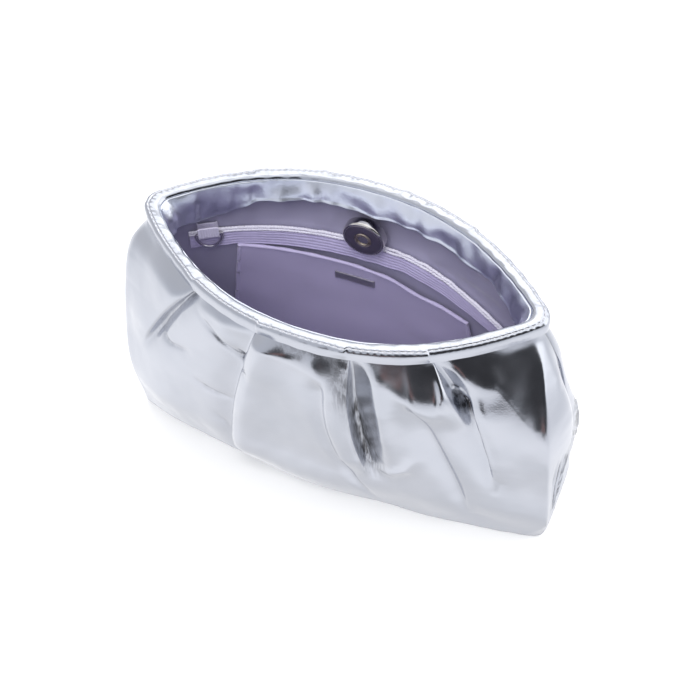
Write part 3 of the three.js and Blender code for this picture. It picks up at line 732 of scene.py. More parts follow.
def seam_inset(z):
    """How far the folded end reaches into a wall. Above it the front and back meet."""
    wedge = np.maximum(GUSSET_TIP / 2, GUSSET_FOOT * np.clip(1 - z / GUSSET_HEIGHT, 0, 1) ** 2)
    return mix(wedge, 0.05 * MM, smoothstep(z, 0.92 * GUSSET_HEIGHT, GUSSET_HEIGHT))


print("shoulder places in front and at the back:", [len(rows) for rows in SHOULDERS.values()])

# %% [markdown]
# ## Single creases
# Some folds don't start at the edge: sharp kinks across a bay, the raised edge where a wall
# turns round a corner, and the soft hollow beside it. Each is drawn as a line of knots on the
# wall, like a pencil line, with its own reach. A knot is a share, a height share and a depth in
# millimetres, and a depth below zero makes a raised edge. The number after the reach says how
# far the bottom of the crease is rounded off.

# %% Single creases
CREASE_LINES = {
    FRONT: [
        (2.6, 0.2, [(0.82, 0, -1.0), (0.81, 0.2, -1.8), (0.81, 0.45, -1.8), (0.82, 0.6, -1.8),
                    (0.845, 0.75, -1.8), (0.88, 0.86, -1.8), (0.92, 0.935, -1.2), (0.95, 0.98, -0.4)]),
        (8.0, 1.0, [(-0.83, 0, 0.8), (-0.82, 0.2, 2.6), (-0.82, 0.6, 3.0), (-0.845, 0.75, 2.6),
                    (-0.88, 0.86, 1.0)]),
        (1.6, 0.2, [(-0.51, 0.97, 2.6), (-0.54, 0.88, 1.6), (-0.59, 0.76, 1.2),
                    (-0.64, 0.63, 1.0), (-0.67, 0.55, 0.2)]),
        (1.6, 0.2, [(-0.60, 0.72, 0.3), (-0.60, 0.67, 0.9), (-0.56, 0.645, 1.1),
                    (-0.50, 0.66, 0.7), (-0.46, 0.68, 0)]),
        (1.5, 0.2, [(-0.40, 0.91, 0.2), (-0.34, 0.85, 0.9), (-0.28, 0.80, 0.9),
                    (-0.23, 0.755, 1.4)]),
        (1.5, 0.2, [(-0.26, 0.83, 0.6), (-0.235, 0.79, 2.6), (-0.225, 0.76, 1.8)]),
        (1.8, 0.2, [(-0.46, 0.52, 0.1), (-0.42, 0.49, 0.9), (-0.36, 0.47, 0.9),
                    (-0.31, 0.46, 0.4)]),
        (1.8, 0.2, [(-0.40, 0.34, 0), (-0.37, 0.27, 0.7), (-0.35, 0.20, 0.5)]),
        (5.0, 1.0, [(0.33, 0.80, 0), (0.40, 0.66, 1.5), (0.46, 0.50, 1.8), (0.52, 0.34, 1.5),
                    (0.57, 0.14, 1.0)]),
        (4.0, 1.0, [(0.29, 0.92, -0.6), (0.295, 0.76, -2.2), (0.285, 0.60, -2.2),
                    (0.27, 0.45, -1.0)]),
        (2.6, 0.6, [(0.21, 0.33, -0.4), (0.28, 0.37, -1.8), (0.34, 0.42, -1.8),
                    (0.38, 0.50, -1.0), (0.39, 0.60, 0)]),
        (0.9, 0.3, [(0.178, 0.95, -0.6), (0.156, 0.78, -1.0), (0.150, 0.58, -1.0),
                    (0.168, 0.42, -0.8), (0.19, 0.34, 0)]),
        (0.9, 0.3, [(0.50, 0.96, -0.5), (0.535, 0.88, -1.0), (0.555, 0.80, -0.8), (0.57, 0.70, 0)]),
        (1.0, 0.3, [(0.55, 0.88, -0.3), (0.585, 0.885, -1.2), (0.605, 0.84, -1.5),
                    (0.615, 0.78, -1.5), (0.63, 0.66, -1.2), (0.65, 0.52, -0.5)]),
        (1.6, 0.2, [(0.575, 0.86, 1.5), (0.59, 0.83, 3.0), (0.60, 0.80, 1.6)]),
        (1.6, 0.2, [(0.64, 0.47, 0), (0.66, 0.42, 0.7), (0.64, 0.36, 0.6), (0.63, 0.33, 0)]),
    ],
    BACK: [
        (8.0, 1.0, [(0.83, 0, 0.8), (0.82, 0.2, 2.6), (0.82, 0.6, 3.4), (0.845, 0.75, 3.0),
                    (0.88, 0.86, 1.5)]),
        (8.0, 1.0, [(-0.83, 0, 0.8), (-0.82, 0.2, 2.0), (-0.82, 0.6, 2.0), (-0.845, 0.75, 1.8),
                    (-0.88, 0.86, 1.0)]),
        (1.8, 0.2, [(-0.35, 0.85, 0.2), (-0.30, 0.72, 1.0), (-0.27, 0.60, 0.8), (-0.26, 0.50, 0)]),
        (1.8, 0.2, [(0.38, 0.90, 0.2), (0.42, 0.78, 1.0), (0.46, 0.66, 0.8), (0.47, 0.55, 0)]),
        (2.0, 0.2, [(-0.70, 0.80, 0), (-0.66, 0.66, 1.0), (-0.60, 0.55, 0.8), (-0.55, 0.48, 0)]),
        (2.0, 0.2, [(0.72, 0.84, 0), (0.69, 0.72, 1.0), (0.62, 0.62, 0.9), (0.57, 0.56, 0)]),
        (1.5, 0.2, [(0.82, 0.54, 0), (0.88, 0.50, -0.8), (0.93, 0.48, -1.2)]),
    ],
}


def crease_lines(side, share, up, length, sharp=False):
    """Depth of the single creases: the nearest place on each line sets how deep it is."""
    total = np.zeros(share.shape)
    x, y = share * length, up * PANEL_TOP
    for reach, round_off, knots in CREASE_LINES[side]:
        if sharp and round_off > 0.2:
            continue
        nearest, depth = np.full(share.shape, 1.0), np.zeros(share.shape)
        for a, b in zip(knots, knots[1:]):
            run_x, run_y = (b[0] - a[0]) * length, (b[1] - a[1]) * PANEL_TOP
            from_x, from_y = x - a[0] * length, y - a[1] * PANEL_TOP
            t = np.clip((from_x * run_x + from_y * run_y) / (run_x**2 + run_y**2), 0, 1)
            away = np.hypot(from_x - t * run_x, from_y - t * run_y)
            depth = np.where(away < nearest, mix(a[2], b[2], t), depth)
            nearest = np.minimum(nearest, away)
        soft = round_off * reach * MM
        total = total + depth * MM * np.exp(-(np.hypot(nearest, soft) - soft) / (reach * MM))
    return total


print("single creases in front and at the back:", [len(rows) for rows in CREASE_LINES.values()])

# %% [markdown]
# ## Small creases
# Foil leather is full of small marks: short gathers below the edge and round the corners, where
# it is sewn to the folded ends, fine lengthwise wrinkles inside a tight fold, and a slow
# unevenness everywhere. Drawing each would be endless, and no two bags have the same ones, so
# they are made of ripples, each let in only where it belongs.

# %% Small creases
GATHER_DEPTH, SLOW_DEPTH, SMALL_DEPTH = 0.12 * MM, 0.45 * MM, 0.06 * MM
CRINKLE_DEPTH, CRINKLE_WAVE = 0.22 * MM, 2.0 * MM
END_GATHER, END_PITCH = 0.55 * MM, 2.7 * MM
CORNER_UPS = (0, 0.15, 0.45, 0.6, 0.75, 0.86, 0.935, 1)
CORNER_SHARES = (0.82, 0.812, 0.81, 0.818, 0.845, 0.88, 0.92, 0.96)


def creases(side, share, up, z, length):
    """Small creases: gathers below the edge, tension lines and the foil's slow unevenness."""
    u = share * length
    gathers = ripple(u, z * 0.22, 3 + side, 9 * MM) * smoothstep(up, 0.78, 0.97)
    slow = ripple(u, z * 0.6, 11 + side, 34 * MM)
    small = ripple(u, z * 0.5, 17 + side, 11 * MM)
    crinkled = CRINKLE_DEPTH * crinkles(side, share, up, length) * hollows(side, share, up)
    gathered = END_GATHER * end_gathers(side, share, up, length)
    uneven = GATHER_DEPTH * gathers + SLOW_DEPTH * slow + SMALL_DEPTH * small
    return uneven + crinkled + gathered


def end_gathers(side, share, up, length):
    """Short gathers round the corners, where the walls are sewn to the folded ends."""
    turned = np.abs(share)
    corner = np.interp(up, CORNER_UPS, CORNER_SHARES)
    where = smoothstep(turned - corner, 0.01, 0.05) * smoothstep(up, 0.12, 0.25)
    where = where * (1 - smoothstep(up, 0.42, 0.6))
    u, v = turned * length, up * PANEL_TOP
    stripes = np.cos(2 * np.pi * (u / END_PITCH + 0.14 * ripple(u, v * 0.5, 45, 14 * MM)))
    crumple = ripple(u, v, 47 + side, 9 * MM) * smoothstep(turned - corner, 0.02, 0.06)
    return 1.8 * where * stripes + 0.2 * crumple * (1 - where) * (1 - smoothstep(up, 0.8, 0.95))


def crinkles(side, share, up, length):
    """Fine lengthwise wrinkles, as the foil has them inside a tight fold."""
    u, v = share * length, up * PANEL_TOP
    return ripple(u + 0.2 * v, v * 0.1, 19 + side, CRINKLE_WAVE)


def hollows(side, share, up):
    """1 inside the tight folds, 0 elsewhere."""
    total = np.zeros(share.shape)
    for fold in FOLDS[side]:
        if fold["dark"] == 0:
            continue
        d = -(share - fold_share(fold, up)) * fold["over"]
        wide = fold["wide"] * mix(1.0, 0.6, smoothstep(up, 0.4, 0.8))
        inside = smoothstep(d, -0.006, 0.008) * (1 - smoothstep(d, 0.1 * wide, 1.15 * wide)) ** 0.6
        below_lip = 1 - smoothstep(up, fold["dark"] - 0.12, fold["dark"])
        total = total + inside * fold_strength(fold, up) * below_lip
    return np.clip(total, 0, 1)


print("share of the corners, from the foot to the mouth:", CORNER_SHARES)

# %% [markdown]
# ## The whole relief
# Everything above adds up to one distance out from the form. It comes to rest at the seams with
# the folded ends, where the leather is held, it never sinks below a floor that keeps it off the
# lining, and it rolls in at the foot, where it meets the base.

# %% The whole relief
FOOT_ROLL, SEAM_CALM = 1.6 * MM, 8 * MM


def foot_roll(z):
    """How far the leather has rolled in at the foot."""
    t = np.clip(1 - z / FOOT_ROLL, 0, 1)
    return FOOT_ROLL * (1 - np.sqrt(1 - 0.8 * t * t))


def relief(side, share, z):
    """How far the outer face stands out from the form."""
    up = np.broadcast_to(z / PANEL_TOP, share.shape)
    length = half_length(side, z)
    to_seam = (1 - np.abs(share)) * length - seam_inset(z)
    calm = smoothstep(to_seam, 0, SEAM_CALM)
    free = puff(side, share, up)
    for fold in FOLDS[side]:
        free = free + fold_relief(fold, share, up)
    for swell in SWELLS[side]:
        sideways = ((share - swell["share"]) / swell["wide"]) ** 2
        upward = ((up - swell["level"]) / swell["tall"]) ** 2
        free = free + PUFF * swell["rise"] * np.exp(-(sideways + upward))
    floor_depth = -HOLLOW * np.clip((1 - up) / 0.2, 0, 1)
    eased = floor_depth + 0.5 * (free - floor_depth + np.hypot(free - floor_depth, 1 * MM))
    small = smoothstep(1 - up, 0, 0.03) * creases(side, share, up, z, length)
    turned = shoulder(side, share, up)
    lines = crease_lines(side, share, up, length) * smoothstep(1 - up, 0, 0.05)
    return calm * (turned * eased + small - lines) - foot_roll(z)


sample = relief(FRONT, steps(-0.8, 0.8, 200), np.full(200, HEIGHT / 2)) / MM
print(f"half way up, the front stands out by {sample.min():.1f} to {sample.max():.1f} mm")

# %% [markdown]
# ## Light lost in the folds
# Inside a tight fold one wall mirrors the other, which is dark too. This number, the painted
# fold shade of a point, is near 1 where almost all light is lost: in the hollows beside two
# pleats, streaked by the fine wrinkles, in the sharpest creases and between the short gathers
# at the corners. A few soft patches of painted shade and painted dark reflection are added under
# the edge and where a lip hangs over the leather. The foil's finish reads it and paints the foil
# darker by it.

# %% Painted shade of the folds
SHARPEST = 2.4 * MM
# Soft patches of painted shade and painted dark reflection: share, height share, width, height and
# strength.
SHADES = {
    FRONT: [
        (0.165, 0.86, 0.030, 0.11, 0.75),
        (0.06, 0.985, 0.10, 0.012, 0.6),
        (0.60, 0.80, 0.020, 0.045, 0.7),
    ],
    BACK: [],
}


def painted_fold_shade(side, share, z):
    """How much shade is painted into the foil, from 0 to 1: the light lost between the walls of a
    fold.
    """
    up = z / PANEL_TOP
    length = half_length(side, z)
    deep = hollows(side, share, up)
    lines = np.clip(crease_lines(side, share, up, length, sharp=True) / SHARPEST, 0, 1)
    streaked = np.clip(0.95 - 1.0 * crinkles(side, share, up, length), 0, 1)
    gathered = np.clip(-0.55 * end_gathers(side, share, up, length) - 0.2, 0, 1)
    total = deep * streaked + 0.8 * lines**1.5 + gathered
    for at, level, wide, tall, strength in SHADES[side]:
        sideways, upward = ((share - at) / wide) ** 2, ((up - level) / tall) ** 2
        total = total + strength * np.exp(-sideways - upward)
    return np.clip(total, 0, 0.95)


sample = painted_fold_shade(FRONT, steps(-0.8, 0.8, 200), np.full(200, HEIGHT / 2))
print("half way up,", int((sample > 0.5).sum()), "of 200 places on the front are dusky")

# %% [markdown]
# ## The front and the back
# Each wall is one grid of points. Its columns follow the pleats, so that a lip's edge lies along
# a line of the mesh and stays crisp, and its rows crowd towards the edge of the mouth, where
# the puffs turn over. The leather's thickness is added behind the faces by a modifier. Leather
# that stands out at a corner can't go straight ahead, or the wall would flare. It turns with
# the wall instead, until it points along the length of the bag. Each wall is one flat piece of
# leather that was gathered into the edge.

# %% Leather walls
def wall_columns(side, z, columns_per_bay):
    """The shares of one row of points: a number of columns from each pleat to the next."""
    up = z / PANEL_TOP
    end = 1 - seam_inset(z) / half_length(side, z)
    lines = [-end, *(fold_share(fold, up) for fold in PLEATS[side]), end]
    columns = [[lines[0]]]
    for low, high, count in zip(lines, lines[1:], columns_per_bay):
        t = steps(0, 1, count + 1)[1:]
        crowded = t + 0.55 * (t - t * t * (3 - 2 * t))
        columns.append(low + (high - low) * crowded)
    return np.concatenate(columns)


# The way that the leather stands out, in degrees from straight ahead, at the left and right
# corners. Towards an end it turns until it points along the length of the bag.
OUTWARD = {FRONT: (44, 24), BACK: (50, 50)}


def pushed(side, share, z, out):
    """Points of a wall that stand out, turned outward at the corners."""
    turned = np.abs(share)
    corner = np.interp(z / PANEL_TOP, CORNER_UPS, CORNER_SHARES)
    at_corner = np.radians(np.where(share > 0, OUTWARD[side][1], OUTWARD[side][0]))
    last = smoothstep((turned - corner) / (1 - corner), 0, 1)
    angle = at_corner * np.clip(turned / corner, 0, 1) ** 2 + (np.pi / 2 - at_corner) * last
    points = wall(side, share, z)
    points[..., 0] += np.sign(share) * np.sin(angle) * out
    points[..., 1] += side * np.cos(angle) * out
    return points


def leather_wall(name, side, columns_per_bay, row_count):
    heights = PANEL_TOP * (1 - (1 - steps(0, 1, row_count)) ** 1.25)
    share = np.array([wall_columns(side, z, columns_per_bay) for z in heights])
    z = heights[:, None] * np.ones_like(share)
    out = relief(side, share, z)
    leaned = share + lean(side, share, z / PANEL_TOP)
    piece = grid_object(name, pushed(side, leaned, z, out), flip=side == BACK)
    # Each point carries its painted fold shade, which the foil's finish darkens it by.
    shade = piece.data.attributes.new("painted_fold_shade", "FLOAT", "POINT")
    shade.data.foreach_set("value", painted_fold_shade(side, share, z).ravel())
    return piece


front = thicken(leather_wall("front_leather", FRONT, (74, 62, 70, 62, 66), 130), LEATHER)
dress(front, SILVER, "silver_leather", "front_panel")
back = thicken(leather_wall("back_leather", BACK, (60, 52, 52, 52, 60), 110), LEATHER)
dress(back, SILVER, "silver_leather", "back_panel")

# %% [markdown]
# ## The folded ends
# Below the mouth each end is closed by a wedge of leather, folded in along its middle so that
# the bag can open. The front and back are sewn to it in short puckers. The wedge is a grid like
# the walls, with the fold and the puckers added to its depth.

# %% Gussets
WEDGE_PITCH = 2.6 * MM


def gusset(name, end):
    """The wedge at an end: -1 is the left one, 1 the right one."""
    heights = steps(0, GUSSET_HEIGHT - LEDGE, 90)
    across = steps(-1, 1, 121)
    z = heights[:, None] * np.ones(len(across))
    t = np.ones(len(heights))[:, None] * across
    deep = np.sin(np.pi * np.clip(z / GUSSET_HEIGHT, 0, 1))
    width = seam_inset(z)
    pucker = ripple(t * 8 * MM, z, 41 + end, 7 * MM) * 0.5 * MM * deep
    gathered = smoothstep(z, 24 * MM, 34 * MM) * (1 - smoothstep(z, 54 * MM, 66 * MM))
    stripes = np.cos(2 * np.pi * (t * width / WEDGE_PITCH + 0.02 * ripple(z, t, 43, 0.02)))
    gathers = stripes * 0.7 * MM * gathered
    sunk = 1.2 * MM * smoothstep(z, 0, 12 * MM) * (1 - t**4)
    fold = GUSSET_FOLD * deep * (1 - t * t) ** 2
    depth = foot_roll(z) + fold + sunk - (pucker + gathers) * (1 - t**4)
    points = np.zeros((*z.shape, 3))
    for side, chosen in ((FRONT, across < 0), (BACK, across >= 0)):
        share = end * (1 - np.abs(t) * width / half_length(side, z))
        points[:, chosen] = wall(side, share, z, -depth)[:, chosen]
    return thicken(grid_object(name, points, flip=end < 0), LEATHER)


for name, end in (("left", -1), ("right", 1)):
    leather = gusset(f"{name}_gusset_leather", end)
    wedge = dress(leather, SILVER_CREASED, "silver_leather", f"{name}_gusset")

# %% [markdown]
# ## The base
# The base is a stiff board under leather, and it is what the bag stands on. The plain solid has
# its shape already, so its points are taken over as they are. A real edge is never knife-sharp,
# and a narrow bevel rounds it.

# %% Base
EDGE_ROUND = 0.5 * MM


def base_leather():
    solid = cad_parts["base_panel"]
    points = [tuple(v.co) for v in solid.data.vertices]
    piece = mesh_object("base_leather", points, [tuple(p.vertices) for p in solid.data.polygons])
    for face in piece.data.polygons:
        face.use_smooth = False
    edge = piece.modifiers.new("rounded_edge", "BEVEL")
    edge.width = EDGE_ROUND
    edge.segments = 3
    edge.limit_method = "ANGLE"
    return piece


dress(base_leather(), SILVER_CREASED, "silver_leather", "base_panel")

# %% [markdown]
# ## The padded edge
# Round the mouth the leather is wrapped over a soft cord of padding and sewn through once, on
# the outside. That seam pulls a groove into the padding, and the leather puckers between the
# stitches. The edge is a section swept round the mouth, with the groove and the puckers in its
# formula, and the stitches are small threads of their own.

# %% Round the mouth
SEAM_ACROSS, BAND_FLAT = 0.42, 0.6
BAND_MIDDLE = BAND_THICKNESS / 2 * 0.9 - LEATHER - 2.6 * MM
STITCH_PITCH = 2.7 * MM


def around(count):
    """Stations round the mouth: the front from left to right, then the back to the left."""
    share = steps(-1, 1, count + 1)[:-1]
    sides = np.concatenate([np.full(count, FRONT), np.full(count, BACK)])
    return np.concatenate([share, -share]), sides


def on_both(place, share, sides, z, out):
    """Points for columns that lie on both sides, from a function that places one side's."""
    share, z, out = np.broadcast_arrays(share, z, out)
    points = place(FRONT, share, z, out)
    behind = np.broadcast_to(sides == BACK, share.shape)
    points[behind] = place(BACK, share, z, out)[behind]
    return points


def wall_around(share, sides, z, out):
    return on_both(wall, share, sides, z, out)


def rim_run(share, sides):
    """Length run round the mouth at each station."""
    points = wall_around(share, sides, HEIGHT, 0.0)
    return np.concatenate([[0], np.cumsum(np.linalg.norm(np.diff(points, axis=0), axis=1))])


print("round the mouth:", round(rim_run(*around(420))[-1] / MM), "mm")

# %% Edge of the mouth
GROOVE_DEPTH, PUCKER_DEPTH = 0.34 * MM, 0.07 * MM


def band_section(turn, share, sides, run):
    """Out and up of the padded section: turn goes from 0 at the outer foot to 1 at the inner."""
    angle = np.pi * turn
    across = np.sign(np.cos(angle)) * np.abs(np.cos(angle)) ** BAND_FLAT
    up = np.sin(angle) ** 0.45
    pressed = np.zeros_like(share * turn)
    for side in (FRONT, BACK):
        for fold in PLEATS[side]:
            d = (share - fold["rim"]) * fold["over"]
            lip = np.exp(-((d / 0.05) ** 2)) * smoothstep(d, -0.006, 0.002)
            pressed = pressed + lip * (sides == side)
    groove = np.exp(-(((across - SEAM_ACROSS) / 0.085) ** 2)) * (np.sin(angle) > 0.3)
    pucker = np.cos(2 * np.pi * run / STITCH_PITCH) * np.exp(-(((across - SEAM_ACROSS) / 0.4) ** 2))
    uneven = ripple(run, across * 4 * MM, 71, 8 * MM) * 0.16 * MM
    uneven = uneven + ripple(run, across * 2 * MM, 72, 26 * MM) * 0.2 * MM
    depth = -GROOVE_DEPTH * groove + PUCKER_DEPTH * pucker + uneven
    lifted = np.where(across > 0, 0.8 * MM * pressed * up, 0)
    out = across * (BAND_THICKNESS / 2 + depth) + BAND_MIDDLE + lifted
    z = HEIGHT - BAND_HEIGHT + up * (BAND_HEIGHT + depth) - 0.25 * MM
    return out, z


def band():
    share, sides = around(420)
    run = rim_run(share, sides)
    turn = steps(0, 1, 61)[:, None]
    out, z = band_section(turn, share[None, :], sides[None, :], run[None, :])
    grid = wall_around(share[None, :], sides[None, :], HEIGHT, out)
    grid[..., 2] = z
    grid = np.concatenate([grid, grid[:1]])
    return grid_object("rim_band_leather", grid, wrap=True)


rim = dress(band(), SILVER, "silver_leather", "rim_band")

# %% [markdown]
# ## The topstitch
# One line of stitches runs round the edge in its groove. A dashed texture would look flat, so
# each stitch is a short bent thread with round ends, and all of them are joined in one mesh.

# %% Stitches
THREAD = 0.21 * MM
thread_finish, thread_shader = new_finish("silver_thread", (0.62, 0.62, 0.66), 0.45)
vary(thread_finish, thread_shader, "Roughness", noise(thread_finish, 4000), 0.35, 0.6)


def stitches():
    share, sides = around(2400)
    run = rim_run(share, sides)
    count = int(run[-1] / STITCH_PITCH)
    turn = math.acos(SEAM_ACROSS ** (1 / BAND_FLAT)) / math.pi
    points, faces = [], []
    rings, corners = 9, 8
    round_about = steps(0, 2 * np.pi, corners + 1)[:-1]
    sideways, upward = (turned(round_about)[None, :, None] for turned in (np.cos, np.sin))
    for i in range(count):
        along = np.interp((i + steps(0.14, 0.86, rings)) * STITCH_PITCH, run, np.arange(len(run)))
        pick = along.astype(int)
        out, z = band_section(np.full(rings, turn), share[pick], sides[pick], run[pick])
        core = wall_around(share[pick], sides[pick], HEIGHT, out + 0.12 * MM)
        core[:, 2] = z + 0.1 * MM
        way = np.gradient(core, axis=0)
        way /= np.linalg.norm(way, axis=1, keepdims=True)
        over = np.cross(way, (0, 0, 1))
        over /= np.linalg.norm(over, axis=1, keepdims=True)
        lift = np.cross(over, way)
        t = steps(-1, 1, rings)
        thick = THREAD * np.sqrt(np.clip(1 - t**8, 0.02, 1))[:, None, None]
        sink = (THREAD * 0.9 * t**6)[:, None]
        core = core - lift * sink
        ring = over[:, None] * sideways + lift[:, None] * upward
        faces.append(grid_faces(rings, corners, wrap=True, first=len(points) * rings * corners))
        points.append(core[:, None] + thick * ring)
    points = np.concatenate([p.reshape(-1, 3) for p in points])
    return mesh_object("rim_stitches", points, np.concatenate(faces))


dress(stitches(), thread_finish, "light_cord")

# %% [markdown]
# ## The facing
# Inside the mouth a strip of the same leather runs down to the lining. It is eased in, so it
# is full of small upright creases, and its lower edge waves where the lining pulls at it. Three
# ripples crease it, weaker towards the top, where it is sewn flat under the edge. At the tips
# of the mouth its foot is set in further, so that both sides have room.

# %% Facing
FACING_DEPTH, LINING_INSET_TOP, LINING_INSET = 12 * MM, 2.6 * MM, 6 * MM
FACING_TOP_INSET, FACING_FOOT_INSET, FACING_RAISED = 4.4 * MM, 8.4 * MM, 8 * MM
FACING_TOP, FACING_FOOT = HEIGHT - 1.8 * MM, PANEL_TOP - FACING_DEPTH
LINING_TOP = FACING_FOOT - LEDGE


def lining_inset(z):
    """How far inside the form the lining hangs."""
    return mix(LINING_INSET_TOP, LINING_INSET, 1 - smoothstep(z / HEIGHT, 0.66, 0.86))


def facing():
    share, sides = around(300)
    run = rim_run(share, sides)[None, :]
    t = steps(0, 1, 30)[:, None]
    middle = smoothstep(share, -0.85, -0.5) * (1 - smoothstep(share, 0.8, 0.95))
    raised = FACING_RAISED * ((sides == BACK) * middle)[None, :]
    foot = FACING_FOOT + raised + 1.5 * MM * ripple(run, 0 * run, 23, 40 * MM) - 0.8 * MM
    z = mix(foot, FACING_TOP, t)
    crease = ripple(run, z * 0.4, 24, 7 * MM) * 0.4 * MM
    crease = crease + ripple(run, z * 0.8, 25, 19 * MM) * 0.8 * MM
    crease = crease + ripple(run * 0.4, z, 26, 11 * MM) * 0.42 * MM
    roll = 0.5 * MM * np.exp(-((t / 0.08) ** 2))
    at_tip = smoothstep(np.abs(share), 0.72, 1)[None, :]
    at_foot = FACING_FOOT_INSET + 4 * MM * at_tip
    inward = mix(at_foot, FACING_TOP_INSET, t**1.3) + crease * (1 - 0.92 * t**3) + roll
    grid = wall_around(share[None, :], sides[None, :], z, -inward)
    return thicken(grid_object("facing_leather", grid, wrap=True, flip=True), 0.7 * MM)


# The facing is the same leather with a rougher finish, and its colour is 1.55 times brighter: painted
# light on the strip inside the mouth.
FACING_FOIL_PAINTED_LIGHT = silver_leather("silver_leather_facing_painted_light", 0.33, 0.00005, 1.55)
strip = dress(facing(), FACING_FOIL_PAINTED_LIGHT, "silver_leather", "facing")

# %% [markdown]
# ## Lilac satin
# Satin floats long threads over the surface, so it has a soft sheen and stretched highlights,
# and fine lines along its threads. The shader is a cloth with a mild gloss and some sheen, a
# colour that drifts a little, and a bump of very fine stretched grain.

# %% Finish: lilac satin
def satin(name, low, high, roughness, sheen):
    finish, shader = new_finish(name, high, roughness)
    shader.inputs["Sheen Weight"].default_value = sheen
    shader.inputs["Sheen Roughness"].default_value = 0.35
    shader.inputs["Specular IOR Level"].default_value = 0.6
    tint(finish, shader, noise(finish, 30, 3), low, high)
    vary(finish, shader, "Roughness", noise(finish, 80), roughness - 0.06, roughness + 0.08)
    thread = noise(finish, 2600, 1, stretch=(0.12, 0.12, 1))
    bumps(finish, shader, (noise(finish, 120, 3), 0.00012), (thread, 0.00001))
    return finish


SATIN = satin("lilac_satin", (0.34, 0.32, 0.46), (0.42, 0.40, 0.54), 0.34, 0.4)
POCKET_SATIN = satin("pocket_satin", (0.50, 0.45, 0.67), (0.57, 0.52, 0.74), 0.5, 0.3)
print("finishes:", SATIN.name, POCKET_SATIN.name)

# %% [markdown]
# ## The lining
# The lining is a bag of its own, a little smaller than the leather, open at the top. It sags in
# soft folds and is creased where the ends fold in. The walls and the floor are one mesh: rings
# of points come down the walls, turn over a small radius, and close across the floor. Behind the
# facing, round the snap and at the back from the ribbon down, the satin is held flat.

# %% Form of the lining
LINING_THICKNESS, BASE_THICKNESS = 1 * MM, 2 * MM
LINING_FLOOR = BASE_THICKNESS + LEDGE + LINING_THICKNESS
FLOOR_RADIUS, LINING_BEHIND = 7 * MM, 11.5 * MM
SNAP_QUIET = 15 * MM


def lining_points(side, share, z, inward):
    """The lining's wall, held back where the gussets fold in."""
    points = wall(side, share, z, -lining_inset(z) - inward)
    deep = np.sin(np.pi * np.clip(z / GUSSET_HEIGHT, 0, 1))
    most = level_of(side, z)[0] - lining_inset(z) - inward - GUSSET_FOLD * deep
    points[..., 0] = np.clip(points[..., 0], -most, most)
    return points


def lining_around(share, sides, z, inward):
    return on_both(lining_points, share, sides, z, inward)


def lining_folds(run, z):
    """Soft folds of the satin, deepest half way down the wall."""
    soft = ripple(run, z * 0.45, 31, 42 * MM) * 1.1 * MM
    small = ripple(run, z * 0.8, 32, 15 * MM) * 0.5 * MM
    free = (soft + small + 1.2 * MM) * smoothstep(z, 2 * MM, 30 * MM)
    hung = smoothstep(z, LINING_TOP + 4 * MM, LINING_TOP + 10 * MM)
    return mix(free, 0.6 * MM, hung)


print("the lining shows from", round((HEIGHT - LINING_TOP) / MM, 1), "mm below the mouth")

# %% Lining
def lining_floor(rings, across):
    """Points and faces that close the last ring, from its front half to its back half."""
    stations = rings.shape[1]
    first, count, low = rings.shape[0] * stations, stations // 2, rings[-1]
    front_edge = np.concatenate([low[:count], low[count:count + 1]])
    back_edge = np.concatenate([low[:1], low[count:][::-1]])
    points = front_edge[None] + (back_edge - front_edge)[None] * across[:, None, None]
    uneven = ripple(points[..., 0], points[..., 1], 33, 35 * MM)
    points[..., 2] += 0.5 * MM * (uneven + 1) * np.sin(np.pi * across)[:, None]
    ring = first - stations
    front_index = ring + np.append(np.arange(count), count)
    back_index = ring + np.append([0], np.arange(2 * count - 1, count - 1, -1))
    inner_index = first + np.arange(points[..., 0].size).reshape(len(across), -1)
    index = np.vstack([front_index, inner_index, back_index])
    index[:, 0], index[:, -1] = front_index[0], front_index[-1]
    corners = [index[:-1, :-1], index[1:, :-1], index[1:, 1:], index[:-1, 1:]]
    return points, np.stack(corners, axis=-1).reshape(-1, 4)[:, ::-1]


def held_flat(share, sides, z):
    """1 where the satin is held flat: at the back from the ribbon down, and round the snap."""
    low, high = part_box("snap_socket")
    beside = share * half_length(BACK, PANEL_TOP) - (low.x + high.x) / 2
    above = z - (low.z + high.z) / 2
    at_snap = np.exp(-((beside / SNAP_QUIET) ** 4) - (above / SNAP_QUIET) ** 4)
    return (sides == BACK) * np.maximum(1 - smoothstep(z, 107 * MM, 113 * MM), at_snap)


def lining():
    share, sides = around(180)
    run = rim_run(share, sides)
    share, sides = share[None, :], sides[None, :]
    wall_z = steps(LINING_TOP + LINING_BEHIND, LINING_FLOOR + FLOOR_RADIUS, 90)
    corner = steps(0, np.pi / 2, 9)[1:]
    z = np.concatenate([wall_z, LINING_FLOOR + FLOOR_RADIUS * (1 - np.sin(corner))])[:, None]
    tuck = np.concatenate([0 * wall_z, FLOOR_RADIUS * (1 - np.cos(corner))])[:, None]
    folds = mix(lining_folds(run[None, :], z), 0.6 * MM, held_flat(share, sides, z))
    rings = lining_around(share, sides, z, LINING_THICKNESS + folds + tuck)
    floor_points, floor_faces = lining_floor(rings, across=steps(0, 1, 40)[1:-1])
    points = np.concatenate([rings.reshape(-1, 3), floor_points.reshape(-1, 3)])
    faces = np.concatenate([grid_faces(*rings.shape[:2], wrap=True), floor_faces]).tolist()
    clean = [list(dict.fromkeys(face)) for face in faces]
    return mesh_object("lining_satin", points, [face for face in clean if len(face) > 2])


lining_bag = dress(thicken(lining(), 0.5 * MM), SATIN, "lilac_satin", "lining")

# %% [markdown]
# ## The pocket
# A patch of the same satin is sewn to the back wall. Its upper edge is bound, sags open in the
# middle and drops towards the right. The patch is a grid on the wall, and the binding is a soft
# roll swept along its upper and side edges.

